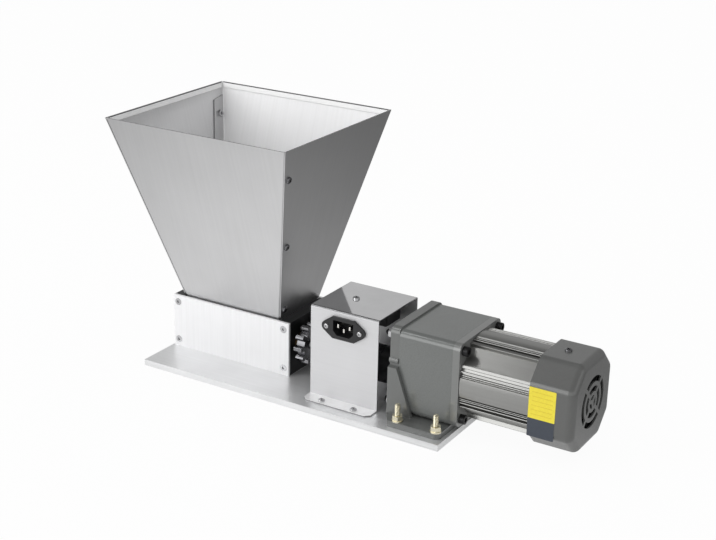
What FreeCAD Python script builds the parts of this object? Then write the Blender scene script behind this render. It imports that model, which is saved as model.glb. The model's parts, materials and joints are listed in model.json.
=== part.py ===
"""A two-roller malt mill: hopper, mill body and geared electric motor on one base plate.

Lengths are millimetres and +Z is up. The origin is the middle of the base plate's
underside, +X runs from the mill to the motor and +Y runs to the rear.
"""
import FreeCAD, Part
import math
import os

from FreeCAD import Vector

# Base plate
base_length = 370.0
base_width = 150.0
base_thickness = 7.0
discharge_margin_x = 2.0
discharge_margin_y = 3.0
discharge_corner = 5.0

# Clearances shared by the assembly
running_clearance = 0.04
hole_clearance = 0.15
seat_clearance = 0.2

# Mill body: two thin cheek plates screwed to two thick end plates
mill_margin = 2.0
left_plate_thickness = 12.0
right_plate_thickness = 14.0
cheek_thickness = 3.0
mill_height = 61.5
cheek_screw_inset = 8.0
mill_foot_screw_spacing = 40.0
mill_foot_screw_diameter = 5.0
mill_foot_screw_reach = 10.0
cheek_screw_reach = 12.0
tapped_hole_spare = 1.0

# Rollers, their shafts and the mill gears
gear_module = 4.0
gear_teeth = 10
gear_face_width = 10.0
gear_addendum = 2.6
gear_dedendum = 3.5
gear_backlash = 0.35
gear_standoff = 6.0
gear_cover_gap = 26.8
gear_hub_diameter = 20.0
gear_hub_clearance = 0.4
pressure_angle = 20.0
roller_gap = 1.2
roller_end_clearance = 0.5
roller_side_clearance = 0.6
gap_travel_open = 0.8
flute_count = 48
flute_depth = 0.8
mill_shaft_diameter = 12.0
shaft_flat_depth = 1.5
drive_axis_y = 0.0
shaft_drop = 18.3
bush_outer_diameter = 16.0
bush_flange_diameter = 20.0
bush_flange_thickness = 2.0
shaft_end_reveal = 1.0

# Sliding bearing blocks of the rear roller and their adjusting screws
block_width = 24.0
block_tail = 16.0
block_flange_overlap = 3.0
block_flange_thickness = 2.0
slot_travel_front = 6.0
adjuster_diameter = 6.0
adjuster_end_gap = 0.4
adjuster_collar_diameter = 10.0
adjuster_collar_thickness = 2.0
adjuster_knob_diameter = 18.0
adjuster_knob_length = 8.0
adjuster_knob_ribs = 24
adjuster_knob_rib_depth = 0.6

# Hopper of four folded sheets
hopper_sheet = 1.2
hopper_rim_length = 229.0
hopper_rim_width = 207.0
hopper_rim_height = 279.5
hopper_throat_width = 76.2
hopper_skirt = 7.0
hopper_flange = 18.5
hopper_flange_drop = 14.0
hopper_flange_lift = 3.0
hopper_hem = 6.0
hopper_fold_gap = 0.3
hopper_screw_inset = 7.5
hopper_screw_first = 12.0
hopper_screw_last = 34.0
hopper_screw_rows = 3
hopper_screw_stand = 0.6
hopper_nut_height = 2.2

# Small pan-head screws and nuts
small_screw_diameter = 4.0
small_head_diameter = 7.4
small_head_height = 2.4
small_screw_length = 8.0
small_head_bevel = 0.5
small_nut_flats = 7.0
socket_flats = 2.5

# Cover over the shaft coupling
cover_bracket_gap = 14.4
cover_length = 81.7
cover_width = 80.6
cover_centre_y = -4.9
cover_height = 102.0
cover_sheet = 1.2
cover_bend_radius = 2.4
cover_flange = 17.0
cover_flange_cut = 5.0
cover_screw_spacing = 39.0
cover_screw_reach = 11.3

# Mains inlet on the front of the cover
inlet_offset_x = 0.0
inlet_drop = 18.4
inlet_screw_spacing = 40.0
inlet_flange_height = 24.4
inlet_flange_flat = 26.0
inlet_tip_radius = 5.9
inlet_flange_thickness = 2.6
inlet_body_length = 27.0
inlet_body_height = 19.6
inlet_body_depth = 17.0
inlet_socket_length = 24.2
inlet_socket_height = 16.4
inlet_socket_depth = 15.5
inlet_socket_bevel = 4.6
inlet_pin_width = 2.0
inlet_pin_height = 4.0
inlet_pin_pitch = 7.0
inlet_earth_drop = 4.0
inlet_pin_rise = 2.0
inlet_pin_recess = 1.5
inlet_tab_length = 8.0
inlet_screw_diameter = 3.0
inlet_screw_head = 5.6
inlet_screw_length = 8.0
inlet_nut_flats = 5.5
inlet_nut_height = 2.4

# Run capacitor under the cover's top
capacitor_length = 48.0
capacitor_width = 30.0
capacitor_height = 26.0
capacitor_offset_y = 19.9
capacitor_ear_thickness = 3.5
capacitor_ear_width = 14.0
capacitor_ear_reach = 12.0
capacitor_screw_offset_x = -9.9

# Jaw coupling
coupling_diameter = 40.0
coupling_hub_length = 25.0
coupling_jaw_length = 14.0
coupling_jaw_bore = 18.0
coupling_jaw_angle = 42.0
coupling_jaws = 3
coupling_spider_gap = 1.0
coupling_lobe_clearance_angle = 1.0
coupling_grub_diameter = 5.0
coupling_plate_gap = 5.4

# Cast bracket that carries the gear case
bracket_thickness = 10.0
bracket_rise = 2.0
bracket_foot_thickness = 6.5
bracket_foot_width = 133.4
bracket_foot_reach = 59.3
bracket_end_margin = 4.3
bracket_corner_cut_x = 10.6
bracket_corner_cut_y = 17.0
bracket_end_radius = 6.0
bracket_web_thickness = 4.2
bracket_web_height = 52.0
bracket_web_reach = 18.6
bracket_flare = 4.6
bracket_shelf_drop = 1.2
bracket_lug_radius = 3.4
foot_bolt_diameter = 6.0
foot_bolt_first = 19.5
foot_bolt_spacing = 44.0
foot_bolt_span = 123.0
foot_bolt_stand = 19.0
nut_flats = 10.0
nut_height = 5.0
washer_diameter = 12.0
washer_thickness = 1.6

# Gear case
case_size = 91.2
case_corner_radius = 8.0
case_length = 60.6
case_front_wall = 12.0
case_foot_gap = 0.2
case_bore = 78.0
case_boss_diameter = 34.0
case_boss_length = 5.0
through_bolt_span = 74.4
through_bolt_diameter = 6.0
through_bolt_head = 10.0
through_bolt_head_height = 6.0
through_bolt_reveal = 4.0
output_shaft_diameter = 15.0
output_shaft_reach = 37.4
output_bearing_outer = 32.0
output_bearing_width = 9.0
layshaft_bearing_outer = 12.0
layshaft_bearing_width = 8.0
layshaft_diameter = 8.0
case_gear_module = 1.0
motor_pinion_teeth = 12
layshaft_gear_teeth = 30
layshaft_pinion_teeth = 12
output_gear_teeth = 36
case_gear_addendum = 0.8
case_gear_dedendum = 1.1
case_gear_backlash = 0.16
output_gear_width = 12.0
layshaft_gear_width = 10.0
case_inner_gap = 2.5
pinion_overhang = 0.8
partition_thickness = 9.0

# Motor
flange_thickness = 7.8
flange_spigot = 5.0
motor_body_length = 76.5
motor_band_radius = 44.8
motor_band_half_angle = 14.0
motor_groove_radius = 42.8
motor_fine_rib_radius = 45.4
motor_rib_radius = 46.2
motor_rail_radius = 47.0
motor_flat_distance = 41.6
motor_bore = 75.0
stator_length = 48.0
stator_inner = 46.4
rotor_air_gap = 0.5
winding_outer = 70.0
winding_inner = 50.0
winding_length = 9.0
motor_shaft_diameter = 12.0
motor_bearing_outer = 32.0
motor_bearing_width = 10.0
shield_wall = 7.0
shield_length = 24.0
shield_rim = 7.0
cover_cap_size = 94.0
cover_cap_bevel = 21.5
cover_cap_length = 47.2
cover_cap_wall = 1.8
cover_cap_corner_radius = 11.0
cover_cap_rim_radius = 8.0
cap_screw_from_edge = 18.2
cap_screw_length = 6.0
fan_diameter = 70.0
fan_hub_diameter = 22.0
fan_blades = 8
fan_width = 13.0
fan_disc = 2.0
fan_blade_thickness = 1.6
grille_outer_ring = (21.0, 27.0)
grille_middle_ring = (11.0, 16.5)
grille_inner_ring = (3.0, 7.0)
grille_ring_slots = 4
grille_inner_slots = 3
grille_spoke = 4.0
grommet_diameter = 7.0
grommet_flange_diameter = 11.0
grommet_flange_thickness = 2.0

# Levels and axes that follow from the sizes above
base_top = base_thickness
mill_top = base_top + mill_height
mill_left = -base_length / 2 + mill_margin
case_left = base_length / 2 - bracket_end_margin - bracket_foot_reach
case_centre_z = base_top + bracket_foot_thickness + case_foot_gap + case_size / 2
drive_axis_z = case_centre_z - shaft_drop
roller_spacing = gear_module * gear_teeth
roller_diameter = roller_spacing - roller_gap
idler_axis_y = drive_axis_y + roller_spacing
chamber_left = mill_left + left_plate_thickness
bracket_left = case_left - bracket_thickness
cover_right = bracket_left - cover_bracket_gap
cover_left = cover_right - cover_length
gear_right = cover_left - gear_cover_gap
gear_left = gear_right - gear_face_width
mill_right = gear_left - gear_standoff
chamber_right = mill_right - right_plate_thickness
chamber_length = chamber_right - chamber_left
mill_centre_y = (drive_axis_y + idler_axis_y) / 2
chamber_front = drive_axis_y - roller_diameter / 2 - roller_side_clearance
chamber_rear = idler_axis_y + roller_diameter / 2 + gap_travel_open + roller_side_clearance
chamber_centre_x = (chamber_left + chamber_right) / 2
left_plate_centre_x = mill_left + left_plate_thickness / 2
right_plate_centre_x = mill_right - right_plate_thickness / 2
cover_centre_x = (cover_left + cover_right) / 2
cover_front = cover_centre_y - cover_width / 2
cover_rear = cover_centre_y + cover_width / 2
cover_top = base_top + cover_height
inlet_centre_z = cover_top - inlet_drop
foot_top = base_top + bracket_foot_thickness
case_right = case_left + case_length
flange_right = case_right + flange_thickness
body_right = flange_right + motor_body_length
cap_right = body_right + cover_cap_length
coupling_right = bracket_left - coupling_plate_gap
coupling_gap_right = coupling_right - coupling_hub_length
coupling_gap_left = coupling_gap_right - coupling_jaw_length
coupling_left = coupling_gap_left - coupling_hub_length


def box(x0, x1, y0, y1, z0, z1):
    """A box between two corners."""
    return Part.makeBox(x1 - x0, y1 - y0, z1 - z0, Vector(x0, y0, z0))


def rod(axis, diameter, start, end, first, second):
    """A cylinder along a row axis; first and second are its other two coordinates."""
    if axis == "x":
        return Part.makeCylinder(diameter / 2, end - start, Vector(start, first, second), Vector(1, 0, 0))
    if axis == "y":
        return Part.makeCylinder(diameter / 2, end - start, Vector(first, start, second), Vector(0, 1, 0))
    return Part.makeCylinder(diameter / 2, end - start, Vector(first, second, start), Vector(0, 0, 1))


def tube(axis, outer, inner, start, end, first, second):
    """A round tube along a row axis."""
    return rod(axis, outer, start, end, first, second).cut(rod(axis, inner, start, end, first, second))


def prism(points, direction):
    """A closed polygon of 3D points swept along a vector."""
    wire = Part.makePolygon(list(points) + [points[0]])
    return Part.Face(wire).extrude(direction)


def hexagon(flats, height):
    """A hexagonal prism on the XY plane, centred on the Z axis."""
    corner = flats / math.sqrt(3)
    points = [Vector(corner * math.cos(math.radians(60 * k)), corner * math.sin(math.radians(60 * k)), 0)
              for k in range(6)]
    return prism(points, Vector(0, 0, height))


def placed(shape, position, direction):
    """A copy of a shape made along +Z, moved to a position and turned to a direction."""
    copy = shape.copy()
    copy.Placement = FreeCAD.Placement(position, FreeCAD.Rotation(Vector(0, 0, 1), direction))
    return copy


def fused(shapes):
    """One solid from several shapes that touch."""
    return shapes[0].multiFuse(shapes[1:]).removeSplitter()


def group(shapes):
    """Separate solids kept together in one node."""
    return Part.makeCompound(shapes)


def pan_screw(diameter, head_diameter, head_height, length):
    """A socket screw with a bevelled head; the seat is at Z 0 and the shank points down."""
    head = Part.makeCylinder(head_diameter / 2, head_height)
    head = head.makeChamfer(head_height * small_head_bevel, [head.Edges[0]])
    socket = hexagon(socket_flats * diameter / small_screw_diameter, head_height)
    socket.translate(Vector(0, 0, head_height * 0.4))
    shank = Part.makeCylinder(diameter / 2, length, Vector(0, 0, -length))
    return head.cut(socket).fuse(shank).removeSplitter()


def countersunk_screw(diameter, length, flats):
    """A flat-head screw whose top is at Z 0, pointing down."""
    head = Part.makeCone(diameter / 2, diameter, diameter / 2, Vector(0, 0, -diameter / 2))
    shank = Part.makeCylinder(diameter / 2, length, Vector(0, 0, -length))
    socket = hexagon(flats, diameter / 2)
    socket.translate(Vector(0, 0, -diameter * 0.4))
    return fused([head, shank]).cut(socket)


def countersunk_hole(diameter, length):
    """The cutter for a countersunk screw's hole, its mouth at Z 0."""
    wide = diameter + 2 * hole_clearance
    cone = Part.makeCone(wide / 2, wide, wide / 2, Vector(0, 0, -wide / 2))
    return fused([cone, Part.makeCylinder(wide / 2, length, Vector(0, 0, -length))])


def cap_screw(diameter, head_diameter, head_height, length, flats):
    """A cylinder-head socket screw; the seat is at Z 0 and the shank points down."""
    head = Part.makeCylinder(head_diameter / 2, head_height)
    socket = hexagon(flats, head_height)
    socket.translate(Vector(0, 0, head_height * 0.5))
    return head.cut(socket).fuse(Part.makeCylinder(diameter / 2, length, Vector(0, 0, -length))).removeSplitter()


def hex_nut(flats, diameter, height):
    """A plain nut standing on Z 0, its corners rounded off by a cone at the top."""
    corner = flats / math.sqrt(3)
    dome = Part.makeCone(corner + height * 0.6, corner - height * 0.1, height)
    return hexagon(flats, height).common(dome).cut(Part.makeCylinder(diameter / 2 + running_clearance, height))


def involute(angle):
    """The involute function of an angle in radians."""
    return math.tan(angle) - angle


def gear_outline(module, teeth, addendum, dedendum, backlash, centre_y, centre_z, turn):
    """The closed outline of a spur gear in the YZ plane at X 0, one tooth pointing along turn degrees."""
    pitch_radius = module * teeth / 2
    base_radius = pitch_radius * math.cos(math.radians(pressure_angle))
    tip_radius = pitch_radius + addendum
    root_radius = pitch_radius - dedendum
    start_radius = max(base_radius, root_radius + 0.05 * module)
    half_pitch = (math.pi * module / 2 - backlash) / (2 * pitch_radius)
    pitch_involute = involute(math.radians(pressure_angle))

    def half_angle(radius):
        """Half of the tooth's angle at a radius."""
        return half_pitch + pitch_involute - involute(math.acos(base_radius / radius))

    def point(radius, angle):
        """A point of the outline from polar values."""
        return Vector(0, centre_y + radius * math.cos(angle), centre_z + radius * math.sin(angle))

    edges = []
    flank_radii = (start_radius, (start_radius + tip_radius) / 2, tip_radius)
    for tooth in range(teeth):
        middle = math.radians(turn) + 2 * math.pi * tooth / teeth
        following = middle + 2 * math.pi / teeth
        rising = [point(radius, middle - half_angle(radius)) for radius in flank_radii]
        falling = [point(radius, middle + half_angle(radius)) for radius in reversed(flank_radii)]
        root_in = point(root_radius, middle - half_angle(start_radius))
        root_out = point(root_radius, middle + half_angle(start_radius))
        root_next = point(root_radius, following - half_angle(start_radius))
        root_middle = point(root_radius, middle + math.pi / teeth)
        edges.append(Part.makeLine(root_in, rising[0]))
        edges.append(Part.Arc(*rising).toShape())
        edges.append(Part.Arc(rising[-1], point(tip_radius, middle), falling[0]).toShape())
        edges.append(Part.Arc(*falling).toShape())
        edges.append(Part.makeLine(falling[-1], root_out))
        edges.append(Part.Arc(root_out, root_middle, root_next).toShape())
    return Part.Wire(edges)


def spur_gear(module, teeth, addendum, dedendum, backlash, x0, x1, centre_y, centre_z, turn):
    """A solid spur gear along X."""
    outline = gear_outline(module, teeth, addendum, dedendum, backlash, centre_y, centre_z, turn)
    gear = Part.Face(outline).extrude(Vector(x1 - x0, 0, 0))
    gear.translate(Vector(x0, 0, 0))
    return gear


def flatted_rod(diameter, x0, x1, y, z, grow=0.0):
    """A shaft along X with a flat on its upper side."""
    radius = diameter / 2 + grow
    flat = z + diameter / 2 - shaft_flat_depth + grow
    return rod("x", 2 * radius, x0, x1, y, z).cut(box(x0, x1, y - radius, y + radius, flat, z + radius + 1))


def build_base():
    """The base plate with its discharge opening and countersunk holes from below."""
    plate = box(-base_length / 2, base_length / 2, -base_width / 2, base_width / 2, 0, base_top)
    opening = box(chamber_left + discharge_margin_x, chamber_right - discharge_margin_x,
                  chamber_front + discharge_margin_y, chamber_rear - discharge_margin_y, 0, base_top)
    upright = [edge for edge in opening.Edges if abs(edge.tangentAt(edge.FirstParameter).z) > 0.9]
    cuts = [opening.makeFillet(discharge_corner, upright)]
    hole = countersunk_hole(foot_bolt_diameter, base_top)
    cuts += [placed(hole, Vector(x, y, 0), Vector(0, 0, -1)) for x, y in foot_bolt_places()]
    hole = countersunk_hole(mill_foot_screw_diameter, base_top)
    cuts += [placed(hole, Vector(x, y, 0), Vector(0, 0, -1)) for x, y in mill_foot_places()]
    cuts += [rod("z", small_screw_diameter + 2 * running_clearance, 0, base_top, x, y)
             for x, y in cover_foot_places()]
    plate = plate.cut(Part.makeCompound(cuts))
    return {"base_plate": plate}


def mill_foot_places():
    """Plan positions of the screws from the base into the end plates."""
    half = mill_foot_screw_spacing / 2
    return [(x, mill_centre_y + side * half) for x in (left_plate_centre_x, right_plate_centre_x)
            for side in (-1, 1)]


def cover_foot_places():
    """Plan positions of the four screws through the cover's feet."""
    half = cover_screw_spacing / 2
    return [(cover_centre_x + end * half, y)
            for y in (cover_front - cover_screw_reach, cover_rear + cover_screw_reach) for end in (-1, 1)]


def foot_bolt_places():
    """Plan positions of the four bolts through the bracket's foot."""
    first = bracket_left + foot_bolt_first
    return [(x, side * foot_bolt_span / 2) for x in (first, first + foot_bolt_spacing) for side in (-1, 1)]


def cheek_screw_places():
    """X and Z of the screws in each cheek plate."""
    return [(x, z) for x in (left_plate_centre_x, right_plate_centre_x)
            for z in (base_top + cheek_screw_inset, mill_top - cheek_screw_inset)]


def end_plate(x0, x1, centre_x):
    """A thick end plate with the drive shaft's bore and the rear roller's slot."""
    plate = box(x0, x1, chamber_front, chamber_rear, base_top, mill_top)
    slot_half = block_width / 2 + running_clearance
    slot_front = idler_axis_y - block_width / 2 - slot_travel_front
    cuts = [rod("x", bush_outer_diameter, x0, x1, drive_axis_y, drive_axis_z),
            box(x0, x1, slot_front, chamber_rear, drive_axis_z - slot_half, drive_axis_z + slot_half)]
    tapped = small_screw_diameter + 2 * running_clearance
    for x, z in cheek_screw_places():
        if x == centre_x:
            cuts.append(rod("y", tapped, chamber_front, chamber_front + cheek_screw_reach, x, z))
            cuts.append(rod("y", tapped, chamber_rear - cheek_screw_reach, chamber_rear, x, z))
    foot_diameter = mill_foot_screw_diameter + 2 * running_clearance
    for x, y in mill_foot_places():
        if x == centre_x:
            cuts.append(rod("z", foot_diameter, base_top, base_top + mill_foot_screw_reach, x, y))
    for side_x, y in hopper_mount_places():
        if (side_x < 0) == (centre_x < chamber_centre_x):
            inner = x1 if side_x < 0 else x0
            depth = small_screw_length
            start = inner - depth if side_x < 0 else inner
            cuts.append(rod("x", tapped, start, start + depth, y, hopper_mount_z()))
    return plate.cut(Part.makeCompound(cuts))


def build_mill_body():
    """Cheek plates, end plates and the screws that hold them together."""
    hole = countersunk_hole(small_screw_diameter, cheek_thickness)
    front_cuts = [placed(hole, Vector(x, chamber_front - cheek_thickness, z), Vector(0, -1, 0))
                  for x, z in cheek_screw_places()]
    rear_cuts = [placed(hole, Vector(x, chamber_rear + cheek_thickness, z), Vector(0, 1, 0))
                 for x, z in cheek_screw_places()]
    rear_cuts += [rod("y", adjuster_diameter + 2 * running_clearance, chamber_rear,
                      chamber_rear + cheek_thickness, x, drive_axis_z)
                  for x in (left_plate_centre_x, right_plate_centre_x)]
    front = box(mill_left, mill_right, chamber_front - cheek_thickness, chamber_front, base_top, mill_top)
    rear = box(mill_left, mill_right, chamber_rear, chamber_rear + cheek_thickness, base_top, mill_top)
    screw_length = cheek_thickness + cheek_screw_reach - tapped_hole_spare
    screw = countersunk_screw(small_screw_diameter, screw_length, socket_flats)
    screws = [placed(screw, Vector(x, chamber_front - cheek_thickness, z), Vector(0, -1, 0))
              for x, z in cheek_screw_places()]
    screws += [placed(screw, Vector(x, chamber_rear + cheek_thickness, z), Vector(0, 1, 0))
               for x, z in cheek_screw_places()]
    foot_length = base_top + mill_foot_screw_reach - tapped_hole_spare
    foot_screw = countersunk_screw(mill_foot_screw_diameter, foot_length, socket_flats)
    feet = [placed(foot_screw, Vector(x, y, 0), Vector(0, 0, -1)) for x, y in mill_foot_places()]
    return {
        "mill_front_plate": front.cut(Part.makeCompound(front_cuts)),
        "mill_rear_plate": rear.cut(Part.makeCompound(rear_cuts)),
        "mill_left_plate": end_plate(mill_left, chamber_left, left_plate_centre_x),
        "mill_right_plate": end_plate(chamber_right, mill_right, right_plate_centre_x),
        "mill_plate_screws": group(screws),
        "mill_foot_screws": group(feet),
    }


def fluted_barrel(y):
    """The grooved barrel of one roller."""
    x0 = chamber_left + roller_end_clearance
    x1 = chamber_right - roller_end_clearance
    outer = roller_diameter / 2
    points = []
    for flute in range(flute_count):
        for share, radius in ((0.0, outer), (0.5, outer), (0.75, outer - flute_depth)):
            angle = 2 * math.pi * (flute + share) / flute_count
            points.append(Vector(x0, y + radius * math.cos(angle), drive_axis_z + radius * math.sin(angle)))
    return prism(points, Vector(x1 - x0, 0, 0))


def mill_gear(y, turn):
    """One of the two mill gears with its hub, bored for the flatted shaft."""
    teeth = spur_gear(gear_module, gear_teeth, gear_addendum, gear_dedendum, gear_backlash,
                      gear_left, gear_right, y, drive_axis_z, turn)
    hub_left = mill_right + bush_flange_thickness + gear_hub_clearance
    hub = rod("x", gear_hub_diameter, hub_left, gear_left, y, drive_axis_z)
    return fused([teeth, hub]).cut(flatted_rod(mill_shaft_diameter, hub_left, gear_right, y, drive_axis_z))


def build_rollers():
    """Rollers with their journals, the mill gears and the drive shaft's bushes."""
    left_end = mill_left - bush_flange_thickness
    drive = fused([fluted_barrel(drive_axis_y),
                   rod("x", mill_shaft_diameter, left_end, mill_right + bush_flange_thickness,
                       drive_axis_y, drive_axis_z),
                   flatted_rod(mill_shaft_diameter, mill_right + bush_flange_thickness,
                               coupling_gap_left - coupling_spider_gap, drive_axis_y, drive_axis_z)])
    idler = fused([fluted_barrel(idler_axis_y),
                   rod("x", mill_shaft_diameter, left_end, mill_right + bush_flange_thickness,
                       idler_axis_y, drive_axis_z),
                   flatted_rod(mill_shaft_diameter, mill_right + bush_flange_thickness,
                               gear_right + shaft_end_reveal, idler_axis_y, drive_axis_z)])
    inner = mill_shaft_diameter + 2 * running_clearance
    left_bush = fused([tube("x", bush_outer_diameter, inner, mill_left, chamber_left, drive_axis_y, drive_axis_z),
                       tube("x", bush_flange_diameter, inner, mill_left - bush_flange_thickness, mill_left,
                            drive_axis_y, drive_axis_z)])
    right_bush = fused([tube("x", bush_outer_diameter, inner, chamber_right, mill_right,
                             drive_axis_y, drive_axis_z),
                        tube("x", bush_flange_diameter, inner, mill_right,
                             mill_right + bush_flange_thickness, drive_axis_y, drive_axis_z)])
    return {
        "drive_roller": drive,
        "idler_roller": idler,
        "drive_gear": mill_gear(drive_axis_y, 0.0),
        "idler_gear": mill_gear(idler_axis_y, 180.0 / gear_teeth),
        "drive_bushes": group([left_bush, right_bush]),
    }


def bearing_block(x0, x1, outward):
    """A block that slides in an end plate's slot and carries one end of the rear roller."""
    half = block_width / 2
    front = idler_axis_y - half
    rear = idler_axis_y + block_tail
    tall = half + block_flange_overlap
    seat = running_clearance
    if outward < 0:
        ends = (x0 - seat - block_flange_thickness, x1)
        flange_ends = (ends[0], x0 - seat)
    else:
        ends = (x0, x1 + seat + block_flange_thickness)
        flange_ends = (x1 + seat, ends[1])
    body = box(*ends, front, rear, drive_axis_z - half, drive_axis_z + half)
    flange = box(*flange_ends, front, rear, drive_axis_z - tall, drive_axis_z + tall)
    tapped = rod("y", adjuster_diameter + 2 * running_clearance, idler_axis_y, rear,
                 (x0 + x1) / 2, drive_axis_z)
    bore = rod("x", bush_outer_diameter, *ends, idler_axis_y, drive_axis_z)
    return fused([body, flange]).cut(bore).cut(tapped)


def adjuster(x):
    """An adjusting screw with its collar and ribbed knob, along Y."""
    tip = idler_axis_y + bush_outer_diameter / 2 + gap_travel_open + adjuster_end_gap
    plate_rear = chamber_rear + cheek_thickness
    knob_front = plate_rear + seat_clearance
    knob_rear = knob_front + adjuster_knob_length
    shank = rod("y", adjuster_diameter, tip, knob_front, x, drive_axis_z)
    collar_rear = chamber_rear - seat_clearance
    collar = rod("y", adjuster_collar_diameter, collar_rear - adjuster_collar_thickness, collar_rear,
                 x, drive_axis_z)
    points = []
    for rib in range(adjuster_knob_ribs):
        for share, radius in ((0.25, adjuster_knob_diameter / 2),
                              (0.75, adjuster_knob_diameter / 2 - adjuster_knob_rib_depth)):
            angle = 2 * math.pi * (rib + share) / adjuster_knob_ribs
            points.append(Vector(x + radius * math.cos(angle), knob_front,
                                 drive_axis_z + radius * math.sin(angle)))
    knob = prism(points, Vector(0, knob_rear - knob_front, 0))
    return fused([shank, collar, knob])


def build_adjusters():
    """Sliding blocks, their bushes and the two adjusting screws."""
    inner = mill_shaft_diameter + 2 * running_clearance
    outside = block_flange_thickness + running_clearance
    left_bush = tube("x", bush_outer_diameter, inner, mill_left - outside, chamber_left,
                     idler_axis_y, drive_axis_z)
    right_bush = tube("x", bush_outer_diameter, inner, chamber_right, mill_right + outside,
                      idler_axis_y, drive_axis_z)
    return {
        "left_bearing_block": bearing_block(mill_left, chamber_left, -1),
        "right_bearing_block": bearing_block(chamber_right, mill_right, 1),
        "idler_bushes": group([left_bush, right_bush]),
        "left_gap_screw": adjuster(left_plate_centre_x),
        "right_gap_screw": adjuster(right_plate_centre_x),
    }


def hopper_half(level, along):
    """The hopper's half length (x) or half width (y) at a level, outside the sheet."""
    share = (level - mill_top) / (hopper_rim_height - mill_top)
    if along == "x":
        low = chamber_length / 2 - seat_clearance
        return low + share * (hopper_rim_length / 2 - low)
    low = hopper_throat_width / 2
    return low + share * (hopper_rim_width / 2 - low)


def hopper_slope(along):
    """Outward run per unit of height of the hopper's sheets."""
    return (hopper_half(hopper_rim_height, along) - hopper_half(mill_top, along)) / (hopper_rim_height - mill_top)


def frustum(lower, upper):
    """A solid between two level rectangles given by their corners in the same order."""
    faces = [Part.Face(Part.makePolygon(list(ring) + [ring[0]])) for ring in (lower, upper)]
    for k in range(len(lower)):
        following = (k + 1) % len(lower)
        loop = [lower[k], lower[following], upper[following], upper[k], lower[k]]
        faces.append(Part.Face(Part.makePolygon(loop)))
    solid = Part.Solid(Part.Shell(faces))
    if solid.Volume < 0:
        solid.reverse()
    return solid


def hopper_core(inset_x, inset_y, low=None, high=None):
    """A frustum inside the hopper: its faces lie inset_x and inset_y in from the sheets' outside."""
    low = mill_top if low is None else low
    high = hopper_rim_height if high is None else high
    shift_x = inset_x * math.hypot(1, hopper_slope("x"))
    shift_y = inset_y * math.hypot(1, hopper_slope("y"))
    rings = []
    for level in (low, high):
        half_x = hopper_half(level, "x") - shift_x
        half_y = hopper_half(level, "y") - shift_y
        rings.append([Vector(chamber_centre_x + sx * half_x, mill_centre_y + sy * half_y, level)
                      for sx, sy in ((-1, -1), (1, -1), (1, 1), (-1, 1))])
    return frustum(*rings)


def side_of(shape, axis, sign):
    """The part of a hopper shape on one side of the hopper's centre."""
    reach = base_length
    if axis == "x":
        start = chamber_centre_x if sign > 0 else chamber_centre_x - reach
        keep = box(start, start + reach, -reach, reach, 0, 2 * hopper_rim_height)
    else:
        start = mill_centre_y if sign > 0 else mill_centre_y - reach
        keep = box(-2 * reach, 2 * reach, start, start + reach, 0, 2 * hopper_rim_height)
    return shape.common(keep)


def hopper_mount_z():
    """Height of the screws that hold the skirts to the end plates."""
    return mill_top - hopper_skirt / 2


def hopper_mount_places():
    """Side (-1 left, 1 right) and Y of the screws through the side skirts."""
    spread = hopper_throat_width * 0.3
    return [(side, mill_centre_y + end * spread) for side in (-1, 1) for end in (-1, 1)]


def hopper_screw_levels():
    """Heights of the screws along each corner."""
    low = mill_top + hopper_screw_first
    step = (hopper_rim_height - hopper_screw_last - low) / (hopper_screw_rows - 1)
    return [low + row * step for row in range(hopper_screw_rows)]


def hopper_screw_frames():
    """Point on the outside of a sheet and outward direction for each corner screw.

    The screws go through the side sheets, and at the rear right corner through the rear sheet.
    """
    frames = []
    for level in hopper_screw_levels():
        half_x = hopper_half(level, "x")
        half_y = hopper_half(level, "y")
        for side, end in ((-1, -1), (-1, 1), (1, -1)):
            point = Vector(chamber_centre_x + side * half_x, mill_centre_y + end * (half_y - hopper_screw_inset),
                           level)
            frames.append((point, Vector(side, 0, -hopper_slope("x")).normalize()))
        point = Vector(chamber_centre_x + half_x - hopper_screw_inset, mill_centre_y + half_y, level)
        frames.append((point, Vector(0, 1, -hopper_slope("y")).normalize()))
    return frames


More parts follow.
